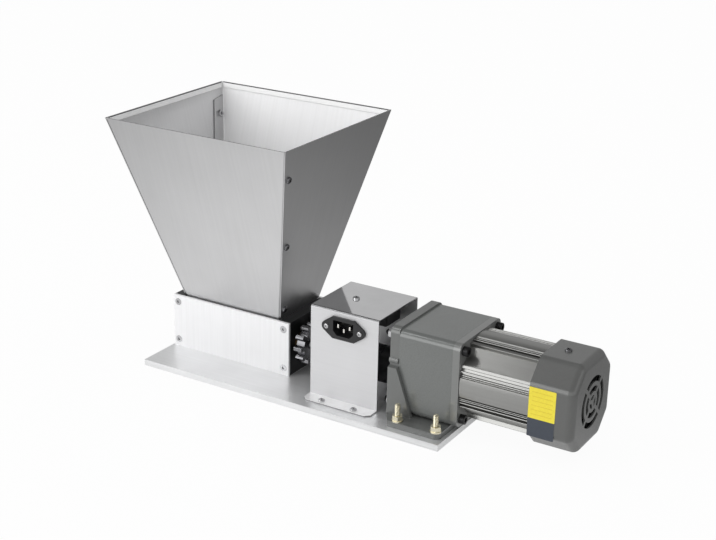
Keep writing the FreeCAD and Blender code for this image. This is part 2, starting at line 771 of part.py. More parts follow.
def build_hopper():
    """Four folded sheets, joined at the corners by screws and nuts."""
    gap = hopper_fold_gap
    sheet = hopper_sheet
    outside = hopper_core(0, 0)
    side_sheets = hopper_core(0, sheet + gap).cut(hopper_core(sheet, -sheet))
    end_sheets = outside.cut(hopper_core(-sheet, sheet))
    flange_low = mill_top + hopper_flange_lift
    flange_top = hopper_rim_height - hopper_flange_drop
    flange_space = hopper_core(sheet, sheet / 2, flange_low, flange_top)
    flanges = flange_space.cut(hopper_core(2 * sheet, -sheet, flange_low, flange_top))
    flanges = flanges.cut(hopper_core(-sheet, hopper_flange, flange_low, flange_top))
    side_flanges = hopper_core(sheet / 2, sheet, flange_low, flange_top)
    side_flanges = side_flanges.cut(hopper_core(-sheet, 2 * sheet, flange_low, flange_top))
    side_flanges = side_flanges.cut(hopper_core(hopper_flange, -sheet, flange_low, flange_top))
    rear_right_flange = side_of(side_of(side_flanges, "x", 1), "y", 1)
    hem_low = hopper_rim_height - hopper_hem
    side_hem = hopper_core(sheet / 2, 2 * sheet + 2 * gap, hem_low, hopper_rim_height)
    side_hem = side_hem.cut(hopper_core(2 * sheet, -sheet, hem_low, hopper_rim_height))
    end_hem = hopper_core(2 * sheet + 2 * gap, sheet / 2, hem_low, hopper_rim_height)
    end_hem = end_hem.cut(hopper_core(-sheet, 2 * sheet, hem_low, hopper_rim_height))
    half_x = chamber_length / 2 - seat_clearance
    half_y = hopper_throat_width / 2
    skirt_low = mill_top - hopper_skirt
    hole_diameter = small_screw_diameter + 2 * hole_clearance
    holes = [placed(Part.makeCylinder(hole_diameter / 2, 8 * sheet, Vector(0, 0, -4 * sheet)), point, outward)
             for point, outward in hopper_screw_frames()]
    mount_holes = [rod("x", hole_diameter, chamber_centre_x + side * half_x - 2 * sheet,
                       chamber_centre_x + side * half_x + 2 * sheet, y, hopper_mount_z())
                   for side, y in hopper_mount_places()]
    cuts = Part.makeCompound(holes + mount_holes)
    pieces = {}
    for name, side in (("hopper_left", -1), ("hopper_right", 1)):
        outer = chamber_centre_x + side * half_x
        skirt = box(min(outer, outer - side * sheet), max(outer, outer - side * sheet),
                    mill_centre_y - half_y + 2 * sheet, mill_centre_y + half_y - 2 * sheet, skirt_low, mill_top)
        sheets = [side_of(side_sheets, "x", side), side_of(side_hem, "x", side), skirt]
        if side > 0:
            sheets.append(rear_right_flange)
        pieces[name] = fused(sheets).cut(cuts)
    for name, side in (("hopper_front", -1), ("hopper_rear", 1)):
        outer = mill_centre_y + side * half_y
        skirt = box(chamber_centre_x - half_x + 2 * sheet, chamber_centre_x + half_x - 2 * sheet,
                    min(outer, outer - side * sheet), max(outer, outer - side * sheet), skirt_low, mill_top)
        own_flanges = side_of(flanges, "y", side)
        if side > 0:
            own_flanges = side_of(own_flanges, "x", -1)
        sheets = [side_of(end_sheets, "y", side), own_flanges, side_of(end_hem, "y", side), skirt]
        pieces[name] = fused(sheets).cut(cuts)
    reach = 2 * sheet + hopper_nut_height + hopper_screw_stand
    screw = pan_screw(small_screw_diameter, small_head_diameter, small_head_height, reach)
    screws = [placed(screw, point, outward) for point, outward in hopper_screw_frames()]
    screw = pan_screw(small_screw_diameter, small_head_diameter, small_head_height, small_screw_length)
    screws += [placed(screw, Vector(chamber_centre_x + side * (half_x - sheet), y, hopper_mount_z()),
                      Vector(-side, 0, 0)) for side, y in hopper_mount_places()]
    nut = hex_nut(small_nut_flats, small_screw_diameter, hopper_nut_height)
    nuts = [placed(nut, point - outward * (2 * sheet), -outward) for point, outward in hopper_screw_frames()]
    pieces["hopper_screws"] = group(screws)
    pieces["hopper_nuts"] = group(nuts)
    return pieces


def build_cover():
    """The bent sheet over the coupling, with its feet and the cut-out for the inlet."""
    sheet = cover_sheet
    outer = box(cover_left, cover_right, cover_front, cover_rear, base_top, cover_top)
    inner = box(cover_left, cover_right, cover_front + sheet, cover_rear - sheet, base_top, cover_top - sheet)

    def top_edges(shape, level):
        """The two upper edges that run along X."""
        return [edge for edge in shape.Edges
                if abs(edge.tangentAt(edge.FirstParameter).x) > 0.9 and edge.CenterOfMass.z > level - 0.1]

    outer = outer.makeFillet(cover_bend_radius, top_edges(outer, cover_top))
    inner = inner.makeFillet(cover_bend_radius - sheet, top_edges(inner, cover_top - sheet))
    cut = cover_flange_cut
    feet = []
    for wall, way in ((cover_front, -1), (cover_rear, 1)):
        tip = wall + way * cover_flange
        root = wall - way * sheet / 2
        points = [Vector(cover_left, root, base_top), Vector(cover_right, root, base_top),
                  Vector(cover_right, tip - way * cut, base_top), Vector(cover_right - cut, tip, base_top),
                  Vector(cover_left + cut, tip, base_top), Vector(cover_left, tip - way * cut, base_top)]
        feet.append(prism(points, Vector(0, 0, sheet)))
    shell = fused([outer.cut(inner)] + feet)
    x, z = inlet_centre()
    half_length = inlet_body_length / 2 + hole_clearance
    half_height = inlet_body_height / 2 + hole_clearance
    cuts = [box(x - half_length, x + half_length, cover_front - 1, cover_front + 2 * sheet,
                z - half_height, z + half_height)]
    cuts += [rod("y", inlet_screw_diameter + 2 * hole_clearance, cover_front - 1, cover_front + 2 * sheet,
                 x + side * inlet_screw_spacing / 2, z) for side in (-1, 1)]
    cuts += [rod("z", small_screw_diameter + 2 * hole_clearance, base_top - 1, base_top + 2 * sheet, px, py)
             for px, py in cover_foot_places()]
    cuts.append(rod("z", small_screw_diameter + 2 * hole_clearance, cover_top - 2 * sheet, cover_top + 1,
                    *capacitor_screw_place()))
    screw = pan_screw(small_screw_diameter, small_head_diameter, small_head_height, small_screw_length)
    screws = [placed(screw, Vector(px, py, base_top + sheet), Vector(0, 0, 1)) for px, py in cover_foot_places()]
    px, py = capacitor_screw_place()
    screws.append(placed(screw, Vector(px, py, cover_top), Vector(0, 0, 1)))
    return {"coupling_cover": shell.cut(Part.makeCompound(cuts)), "cover_screws": group(screws)}


def inlet_centre():
    """X and Z of the inlet's middle."""
    return cover_centre_x + inlet_offset_x, inlet_centre_z


def capacitor_screw_place():
    """X and Y of the screw through the cover's top."""
    ear_middle = cover_centre_y + capacitor_offset_y - capacitor_width / 2 - capacitor_ear_reach / 2
    return cover_centre_x + capacitor_screw_offset_x, ear_middle


def build_inlet():
    """The mains inlet: moulded body, three pins, two screws and two nuts."""
    x, z = inlet_centre()
    half = inlet_screw_spacing / 2
    face = cover_front - inlet_flange_thickness
    points = []
    flat_x = inlet_flange_flat / 2
    flat_z = inlet_flange_height / 2
    towards_corner = math.atan2(flat_z, flat_x - half)
    span = math.hypot(half - flat_x, flat_z)
    tangent = towards_corner - math.acos(inlet_tip_radius / span)
    tip_x = half + inlet_tip_radius * math.cos(tangent)
    tip_z = inlet_tip_radius * math.sin(tangent)
    for sx, sz in ((-1, 1), (1, 1), (1, -1), (-1, -1)):
        points.append(Vector(x + sx * flat_x, face, z + sz * flat_z))
    plate = prism(points, Vector(0, inlet_flange_thickness, 0))
    wings = []
    for side in (-1, 1):
        wing = [Vector(x + side * flat_x, face, z - flat_z), Vector(x + side * tip_x, face, z - tip_z),
                Vector(x + side * tip_x, face, z + tip_z), Vector(x + side * flat_x, face, z + flat_z)]
        wings.append(prism(wing, Vector(0, inlet_flange_thickness, 0)))
        wings.append(rod("y", 2 * inlet_tip_radius, face, cover_front, x + side * half, z))
    shell = box(x - inlet_body_length / 2, x + inlet_body_length / 2, face, cover_front + inlet_body_depth,
                z - inlet_body_height / 2, z + inlet_body_height / 2)
    socket_x = inlet_socket_length / 2
    socket_z = inlet_socket_height / 2
    bevel = inlet_socket_bevel
    mouth = [Vector(x - socket_x, face, z + socket_z), Vector(x + socket_x, face, z + socket_z),
             Vector(x + socket_x, face, z - socket_z + bevel), Vector(x + socket_x - bevel, face, z - socket_z),
             Vector(x - socket_x + bevel, face, z - socket_z), Vector(x - socket_x, face, z - socket_z + bevel)]
    socket = prism(mouth, Vector(0, inlet_socket_depth, 0))
    tail = cover_front + inlet_body_depth
    pins = []
    slots = []
    for px, pz in ((x - inlet_pin_pitch, z + inlet_pin_rise), (x + inlet_pin_pitch, z + inlet_pin_rise),
                   (x, z + inlet_pin_rise - inlet_earth_drop)):
        pin = box(px - inlet_pin_width / 2, px + inlet_pin_width / 2, face + inlet_pin_recess,
                  tail + inlet_tab_length, pz - inlet_pin_height / 2, pz + inlet_pin_height / 2)
        pins.append(pin)
        slots.append(pin.copy())
    screw_holes = [rod("y", inlet_screw_diameter + 2 * hole_clearance, face, cover_front, x + side * half, z)
                   for side in (-1, 1)]
    body = fused([plate, shell] + wings).cut(socket).cut(Part.makeCompound(slots + screw_holes))
    screw = pan_screw(inlet_screw_diameter, inlet_screw_head, small_head_height * 0.7, inlet_screw_length)
    screws = [placed(screw, Vector(x + side * half, face, z), Vector(0, -1, 0)) for side in (-1, 1)]
    nut = hex_nut(inlet_nut_flats, inlet_screw_diameter, inlet_nut_height)
    nuts = [placed(nut, Vector(x + side * half, cover_front + cover_sheet, z), Vector(0, 1, 0))
            for side in (-1, 1)]
    return {"inlet_body": body, "inlet_pins": group(pins), "inlet_screws": group(screws),
            "inlet_nuts": group(nuts)}


def build_capacitor():
    """The motor's run capacitor, hung by its ear from the cover's top."""
    ceiling = cover_top - cover_sheet
    middle_y = cover_centre_y + capacitor_offset_y
    front = middle_y - capacitor_width / 2
    can = box(cover_centre_x - capacitor_length / 2, cover_centre_x + capacitor_length / 2, front,
              front + capacitor_width, ceiling - capacitor_height, ceiling)
    can = can.makeFillet(2.0, [edge for edge in can.Edges if edge.CenterOfMass.z < ceiling - 1])
    px, py = capacitor_screw_place()
    ear = box(px - capacitor_ear_width / 2, px + capacitor_ear_width / 2, front - capacitor_ear_reach, front,
              ceiling - capacitor_ear_thickness, ceiling)
    hole_diameter = small_screw_diameter + 2 * running_clearance
    hole = rod("z", hole_diameter, ceiling - capacitor_ear_thickness, ceiling, px, py)
    return {"capacitor": fused([can, ear]).cut(hole)}


def sectors(x0, x1, outer, inner, count, span, turn):
    """Evenly spaced sectors of a ring about the drive axis."""
    ring = tube("x", outer, inner, x0, x1, drive_axis_y, drive_axis_z)
    reach = outer
    pieces = []
    for sector in range(count):
        middle = math.radians(turn + 360 / count * sector)
        half = math.radians(span / 2)
        points = [Vector(x0, drive_axis_y, drive_axis_z)]
        for angle in (middle - half, middle, middle + half):
            points.append(Vector(x0, drive_axis_y + reach * math.cos(angle),
                                 drive_axis_z + reach * math.sin(angle)))
        pieces.append(ring.common(prism(points, Vector(x1 - x0, 0, 0))))
    return pieces


def coupling_hub(x0, x1, jaw_x0, jaw_x1, turn, bore):
    """A coupling hub with its jaws and a set-screw hole."""
    body = rod("x", coupling_diameter, x0, x1, drive_axis_y, drive_axis_z)
    jaws = sectors(jaw_x0, jaw_x1, coupling_diameter, coupling_jaw_bore, coupling_jaws, coupling_jaw_angle, turn)
    hub = fused([body] + jaws).cut(bore)
    grub_x = (x0 + x1) / 2
    hole = rod("z", coupling_grub_diameter + 2 * running_clearance, drive_axis_z,
               drive_axis_z + coupling_diameter / 2, grub_x, drive_axis_y)
    return hub.cut(hole)


def build_coupling():
    """Two jaw hubs, the elastic spider between them and a set screw in each hub."""
    gap = coupling_spider_gap
    pitch = 180.0 / coupling_jaws
    mill_bore = flatted_rod(mill_shaft_diameter, coupling_left, coupling_gap_left, drive_axis_y, drive_axis_z)
    motor_bore = flatted_rod(output_shaft_diameter, coupling_gap_right, coupling_right, drive_axis_y, drive_axis_z)
    mill_hub = coupling_hub(coupling_left, coupling_gap_left, coupling_gap_left, coupling_gap_right - gap, 0.0,
                            mill_bore)
    motor_hub = coupling_hub(coupling_gap_right, coupling_right, coupling_gap_left + gap, coupling_gap_right,
                             pitch, motor_bore)
    spider_left = coupling_gap_left + gap
    spider_right = coupling_gap_right - gap
    core = tube("x", coupling_jaw_bore - gap, coupling_jaw_bore / 2, spider_left, spider_right,
                drive_axis_y, drive_axis_z)
    lobe_angle = pitch - coupling_jaw_angle - 2 * coupling_lobe_clearance_angle
    lobes = sectors(spider_left, spider_right, coupling_diameter - 2 * gap, coupling_jaw_bore - 2 * gap,
                    2 * coupling_jaws, lobe_angle, pitch / 2)
    spider = fused([core] + lobes)
    grubs = []
    for hub_left, hub_right, diameter in ((coupling_left, coupling_gap_left, mill_shaft_diameter),
                                          (coupling_gap_right, coupling_right, output_shaft_diameter)):
        seat = drive_axis_z + diameter / 2 - shaft_flat_depth
        top = drive_axis_z + coupling_diameter / 2 - gap
        grub = rod("z", coupling_grub_diameter, seat, top, (hub_left + hub_right) / 2, drive_axis_y)
        socket = hexagon(socket_flats, gap * 3)
        socket.translate(Vector((hub_left + hub_right) / 2, drive_axis_y, top - gap * 3))
        grubs.append(grub.cut(socket))
    return {"mill_coupling_hub": mill_hub, "motor_coupling_hub": motor_hub, "coupling_spider": spider,
            "coupling_set_screws": group(grubs)}


def through_bolt_places():
    """Y and Z of the four long bolts at the gear case's corners."""
    half = through_bolt_span / 2
    return [(sy * half, case_centre_z + sz * half) for sy in (-1, 1) for sz in (-1, 1)]


def rounded_block(x0, x1, size, radius):
    """A square block about the motor axis with its long edges rounded."""
    half = size / 2
    block = box(x0, x1, -half, half, case_centre_z - half, case_centre_z + half)
    return block.makeFillet(radius, [edge for edge in block.Edges
                                     if abs(edge.tangentAt(edge.FirstParameter).x) > 0.9])


def build_bracket():
    """The cast L-shaped bracket with its side webs, and its bolts, washers and nuts."""
    half = case_size / 2
    top = case_centre_z + half + bracket_rise
    wide = half + bracket_flare
    shoulder = base_top + bracket_web_height + bracket_foot_thickness
    shelf = shoulder - bracket_shelf_drop
    outline = [Vector(bracket_left, -wide, base_top), Vector(bracket_left, wide, base_top),
               Vector(bracket_left, wide, shelf), Vector(bracket_left, half, shoulder),
               Vector(bracket_left, half, top), Vector(bracket_left, -half, top),
               Vector(bracket_left, -half, shoulder), Vector(bracket_left, -wide, shelf)]
    plate = prism(outline, Vector(bracket_thickness, 0, 0))
    corners = [edge for edge in plate.Edges if abs(edge.tangentAt(edge.FirstParameter).x) > 0.9
               and edge.CenterOfMass.z > top - 1]
    plate = plate.makeFillet(case_corner_radius, corners)
    foot_half = bracket_foot_width / 2
    right = case_left + bracket_foot_reach
    cut_x = bracket_left + bracket_corner_cut_x
    cut_y = foot_half - bracket_corner_cut_y
    foot = prism([Vector(bracket_left, -cut_y, base_top), Vector(cut_x, -foot_half, base_top),
                  Vector(right, -foot_half, base_top), Vector(right, foot_half, base_top),
                  Vector(cut_x, foot_half, base_top), Vector(bracket_left, cut_y, base_top)],
                 Vector(0, 0, bracket_foot_thickness))
    ends = [edge for edge in foot.Edges if abs(edge.tangentAt(edge.FirstParameter).z) > 0.9
            and edge.CenterOfMass.x > right - 1]
    foot = foot.makeFillet(bracket_end_radius, ends)
    webs = []
    for side in (-1, 1):
        outer = side * wide
        points = [Vector(case_left - 1, outer, foot_top - 1),
                  Vector(case_left - 1, outer, shelf),
                  Vector(case_left, outer, shelf),
                  Vector(case_left + bracket_web_reach, outer, foot_top),
                  Vector(case_left + bracket_web_reach, outer, foot_top - 1)]
        webs.append(prism(points, Vector(0, -side * bracket_web_thickness, 0)))
        lug_y = side * (half - bracket_lug_radius / 3)
        webs.append(rod("x", 2 * bracket_lug_radius, bracket_left, case_left,
                        lug_y, shoulder + 1.6 * bracket_lug_radius))
    bolt_hole = through_bolt_diameter + 2 * hole_clearance
    cuts = [rod("x", bolt_hole, bracket_left, case_left, y, z) for y, z in through_bolt_places()]
    cuts.append(rod("x", case_boss_diameter + 2 * running_clearance, bracket_left, case_left,
                    drive_axis_y, drive_axis_z))
    cuts += [rod("z", foot_bolt_diameter + 2 * hole_clearance, base_top, foot_top, x, y)
             for x, y in foot_bolt_places()]
    bracket = fused([plate, foot] + webs).cut(Part.makeCompound(cuts))
    bolt = countersunk_screw(foot_bolt_diameter, foot_top + foot_bolt_stand, nut_flats * 0.4)
    bolts = [placed(bolt, Vector(x, y, 0), Vector(0, 0, -1)) for x, y in foot_bolt_places()]
    washer = tube("z", washer_diameter, foot_bolt_diameter + 2 * running_clearance, 0, washer_thickness, 0, 0)
    washers = [placed(washer, Vector(x, y, foot_top), Vector(0, 0, 1)) for x, y in foot_bolt_places()]
    nut = hex_nut(nut_flats, foot_bolt_diameter, nut_height)
    nuts = [placed(nut, Vector(x, y, foot_top + washer_thickness), Vector(0, 0, 1))
            for x, y in foot_bolt_places()]
    return {"motor_bracket": bracket, "foot_bolts": group(bolts), "foot_washers": group(washers),
            "foot_nuts": group(nuts)}


def layshaft_place():
    """Y and Z of the layshaft, in mesh with the motor pinion and the output gear."""
    to_motor = case_gear_module * (motor_pinion_teeth + layshaft_gear_teeth) / 2
    to_output = case_gear_module * (layshaft_pinion_teeth + output_gear_teeth) / 2
    below_motor = (to_motor ** 2 - to_output ** 2 + shaft_drop ** 2) / (2 * shaft_drop)
    sideways = math.sqrt(to_motor ** 2 - below_motor ** 2)
    return sideways, case_centre_z - below_motor


def case_gear(teeth, x0, x1, y, z, turn):
    """A small gear of the reduction, one tooth pointing along turn degrees."""
    return spur_gear(case_gear_module, teeth, case_gear_addendum, case_gear_dedendum, case_gear_backlash,
                     x0, x1, y, z, turn)


def mesh_turn(teeth, direction):
    """The turn that puts a gap between two teeth along a direction in degrees."""
    return direction + 180.0 / teeth


def build_gear_case():
    """The gear case with its shafts, gears, bearings, partition and through bolts."""
    lay_y, lay_z = layshaft_place()
    wall_inner = case_left + case_front_wall
    partition_left = wall_inner + 2 * case_inner_gap + output_gear_width
    partition_right = partition_left + partition_thickness
    gear_x0 = wall_inner + case_inner_gap
    gear_x1 = gear_x0 + output_gear_width
    lay_x0 = partition_right + case_inner_gap / 2
    lay_x1 = lay_x0 + layshaft_gear_width
    bolt_hole = through_bolt_diameter + 2 * hole_clearance
    bearing_left = wall_inner - output_bearing_width
    needle_left = wall_inner - layshaft_bearing_width
    case = fused([rounded_block(case_left, case_right, case_size, case_corner_radius),
                  rod("x", case_boss_diameter, case_left - case_boss_length, case_left,
                      drive_axis_y, drive_axis_z)])
    cuts = [rod("x", case_bore, wall_inner, case_right, 0, case_centre_z),
            rod("x", output_bearing_outer, bearing_left, wall_inner, drive_axis_y, drive_axis_z),
            rod("x", output_shaft_diameter + 2 * hole_clearance, case_left - case_boss_length, bearing_left,
                drive_axis_y, drive_axis_z),
            rod("x", layshaft_bearing_outer, needle_left, wall_inner, lay_y, lay_z)]
    cuts += [rod("x", bolt_hole, case_left, case_right, y, z) for y, z in through_bolt_places()]
    partition = rod("x", case_bore - 2 * running_clearance, partition_left, partition_right, 0, case_centre_z)
    needle_right_end = partition_left + (partition_thickness + layshaft_bearing_width) / 2
    partition_cuts = [rod("x", output_bearing_outer, partition_left, partition_right, drive_axis_y, drive_axis_z),
                      rod("x", layshaft_bearing_outer, partition_left, partition_right, lay_y, lay_z)]
    bearings = [tube("x", output_bearing_outer, output_shaft_diameter + 2 * running_clearance, left,
                     left + output_bearing_width, drive_axis_y, drive_axis_z)
                for left in (bearing_left, partition_left)]
    needles = [tube("x", layshaft_bearing_outer, layshaft_diameter + 2 * running_clearance,
                    right - layshaft_bearing_width, right, lay_y, lay_z)
               for right in (wall_inner, needle_right_end)]
    shaft_end = case_left - output_shaft_reach
    output_shaft = fused([flatted_rod(output_shaft_diameter, shaft_end, coupling_right, drive_axis_y, drive_axis_z),
                          rod("x", output_shaft_diameter, coupling_right, partition_right,
                              drive_axis_y, drive_axis_z)])
    towards_output = math.degrees(math.atan2(drive_axis_z - lay_z, drive_axis_y - lay_y))
    from_output = math.degrees(math.atan2(lay_z - drive_axis_z, lay_y - drive_axis_y))
    towards_motor = math.degrees(math.atan2(case_centre_z - lay_z, -lay_y))
    output_gear = case_gear(output_gear_teeth, gear_x0, gear_x1, drive_axis_y, drive_axis_z,
                            mesh_turn(output_gear_teeth, from_output))
    output_gear = output_gear.cut(rod("x", output_shaft_diameter, gear_x0, gear_x1, drive_axis_y, drive_axis_z))
    layshaft = fused([rod("x", layshaft_diameter, needle_left, lay_x1 + 1, lay_y, lay_z),
                      case_gear(layshaft_pinion_teeth, gear_x0, gear_x1, lay_y, lay_z, towards_output)])
    lay_gear = case_gear(layshaft_gear_teeth, lay_x0, lay_x1, lay_y, lay_z, towards_motor)
    lay_gear = lay_gear.cut(rod("x", layshaft_diameter, lay_x0, lay_x1, lay_y, lay_z))
    bolt_start = bracket_left - nut_height - through_bolt_reveal
    bolt = cap_screw(through_bolt_diameter, through_bolt_head, through_bolt_head_height,
                     flange_right - bolt_start, nut_flats / 2)
    nut = hex_nut(nut_flats, through_bolt_diameter, nut_height)
    bolts = [placed(bolt, Vector(flange_right, y, z), Vector(1, 0, 0)) for y, z in through_bolt_places()]
    nuts = [placed(nut, Vector(bracket_left, y, z), Vector(-1, 0, 0)) for y, z in through_bolt_places()]
    return {
        "gear_case": case.cut(Part.makeCompound(cuts)),
        "gear_partition": partition.cut(Part.makeCompound(partition_cuts)),
        "output_bearings": group(bearings),
        "layshaft_bearings": group(needles),
        "output_shaft": output_shaft,
        "output_gear": output_gear,
        "layshaft": layshaft,
        "layshaft_gear": lay_gear,
        "through_bolts": group(bolts),
        "through_nuts": group(nuts),
    }


def motor_side_profile():
    """Angle in degrees and radius of the ribs' points from the band to the 45 degree flat."""
    points = []
    for low, high, radius in ((15.0, 16.4, motor_fine_rib_radius), (17.6, 19.0, motor_fine_rib_radius),
                              (20.6, 23.0, motor_rib_radius), (26.2, 30.8, motor_rail_radius)):
        points += [(low, motor_groove_radius), (low + 0.3, radius), (high - 0.3, radius),
                   (high, motor_groove_radius)]
    return points


def motor_outline():
    """The closed cross-section of the extruded motor body in the YZ plane."""
    band = motor_band_half_angle
    rib_points = motor_side_profile()

    def point(radius, degrees):
        """A point about the motor axis; 0 degrees is +Y."""
        angle = math.radians(degrees)
        return Vector(0, radius * math.cos(angle), case_centre_z + radius * math.sin(angle))

    edges = []
    last = None
    sides = 4
    for side in range(sides):
        middle = 360.0 / sides * side
        left = [point(radius, middle - angle) for angle, radius in reversed(rib_points)]
        right = [point(radius, middle + angle) for angle, radius in rib_points]
        band_in = point(motor_groove_radius, middle - band - 0.2)
        band_out = point(motor_groove_radius, middle + band + 0.2)
        band_start = point(motor_band_radius, middle - band)
        band_end = point(motor_band_radius, middle + band)
        chain = left + [band_in, band_start]
        flat_edge = math.sqrt(motor_groove_radius ** 2 - motor_flat_distance ** 2)
        flat_angle = math.degrees(math.atan2(flat_edge, motor_flat_distance))
        flat_start = point(motor_groove_radius, middle + 45 - flat_angle)
        flat_end = point(motor_groove_radius, middle + 45 + flat_angle)
        if last is not None:
            edges.append(Part.makeLine(last, chain[0]))
        else:
            first = chain[0]
        edges += [Part.makeLine(a, b) for a, b in zip(chain, chain[1:])]
        edges.append(Part.Arc(band_start, point(motor_band_radius, middle), band_end).toShape())
        chain = [band_end, band_out] + right + [flat_start, flat_end]
        edges += [Part.makeLine(a, b) for a, b in zip(chain, chain[1:])]
        last = chain[-1]
    edges.append(Part.makeLine(last, first))
    return Part.Wire(edges)


def octagon(x, size, bevel):
    """Corners of a square with cut corners about the motor axis, at one X."""
    half = size / 2
    inner = half - bevel
    return [Vector(x, y, case_centre_z + z)
            for y, z in ((half, inner), (inner, half), (-inner, half), (-half, inner),
                         (-half, -inner), (-inner, -half), (inner, -half), (half, -inner))]


def cap_block(x0, x1, inset, rim_radius):
    """The fan cover's outer form, drawn in by an inset, with rounded corners and a rounded end rim."""
    size = cover_cap_size - 2 * inset
    bevel = cover_cap_bevel - inset * (2 - math.sqrt(2))
    block = prism(octagon(x0, size, bevel), Vector(x1 - x0, 0, 0))
    long_edges = [edge for edge in block.Edges if abs(edge.tangentAt(edge.FirstParameter).x) > 0.9]
    block = block.makeFillet(cover_cap_corner_radius - inset, long_edges)
    if rim_radius > 0:
        rim = [edge for edge in block.Edges if edge.BoundBox.XMin > x1 - 0.01]
        block = block.makeFillet(rim_radius, rim)
    return block


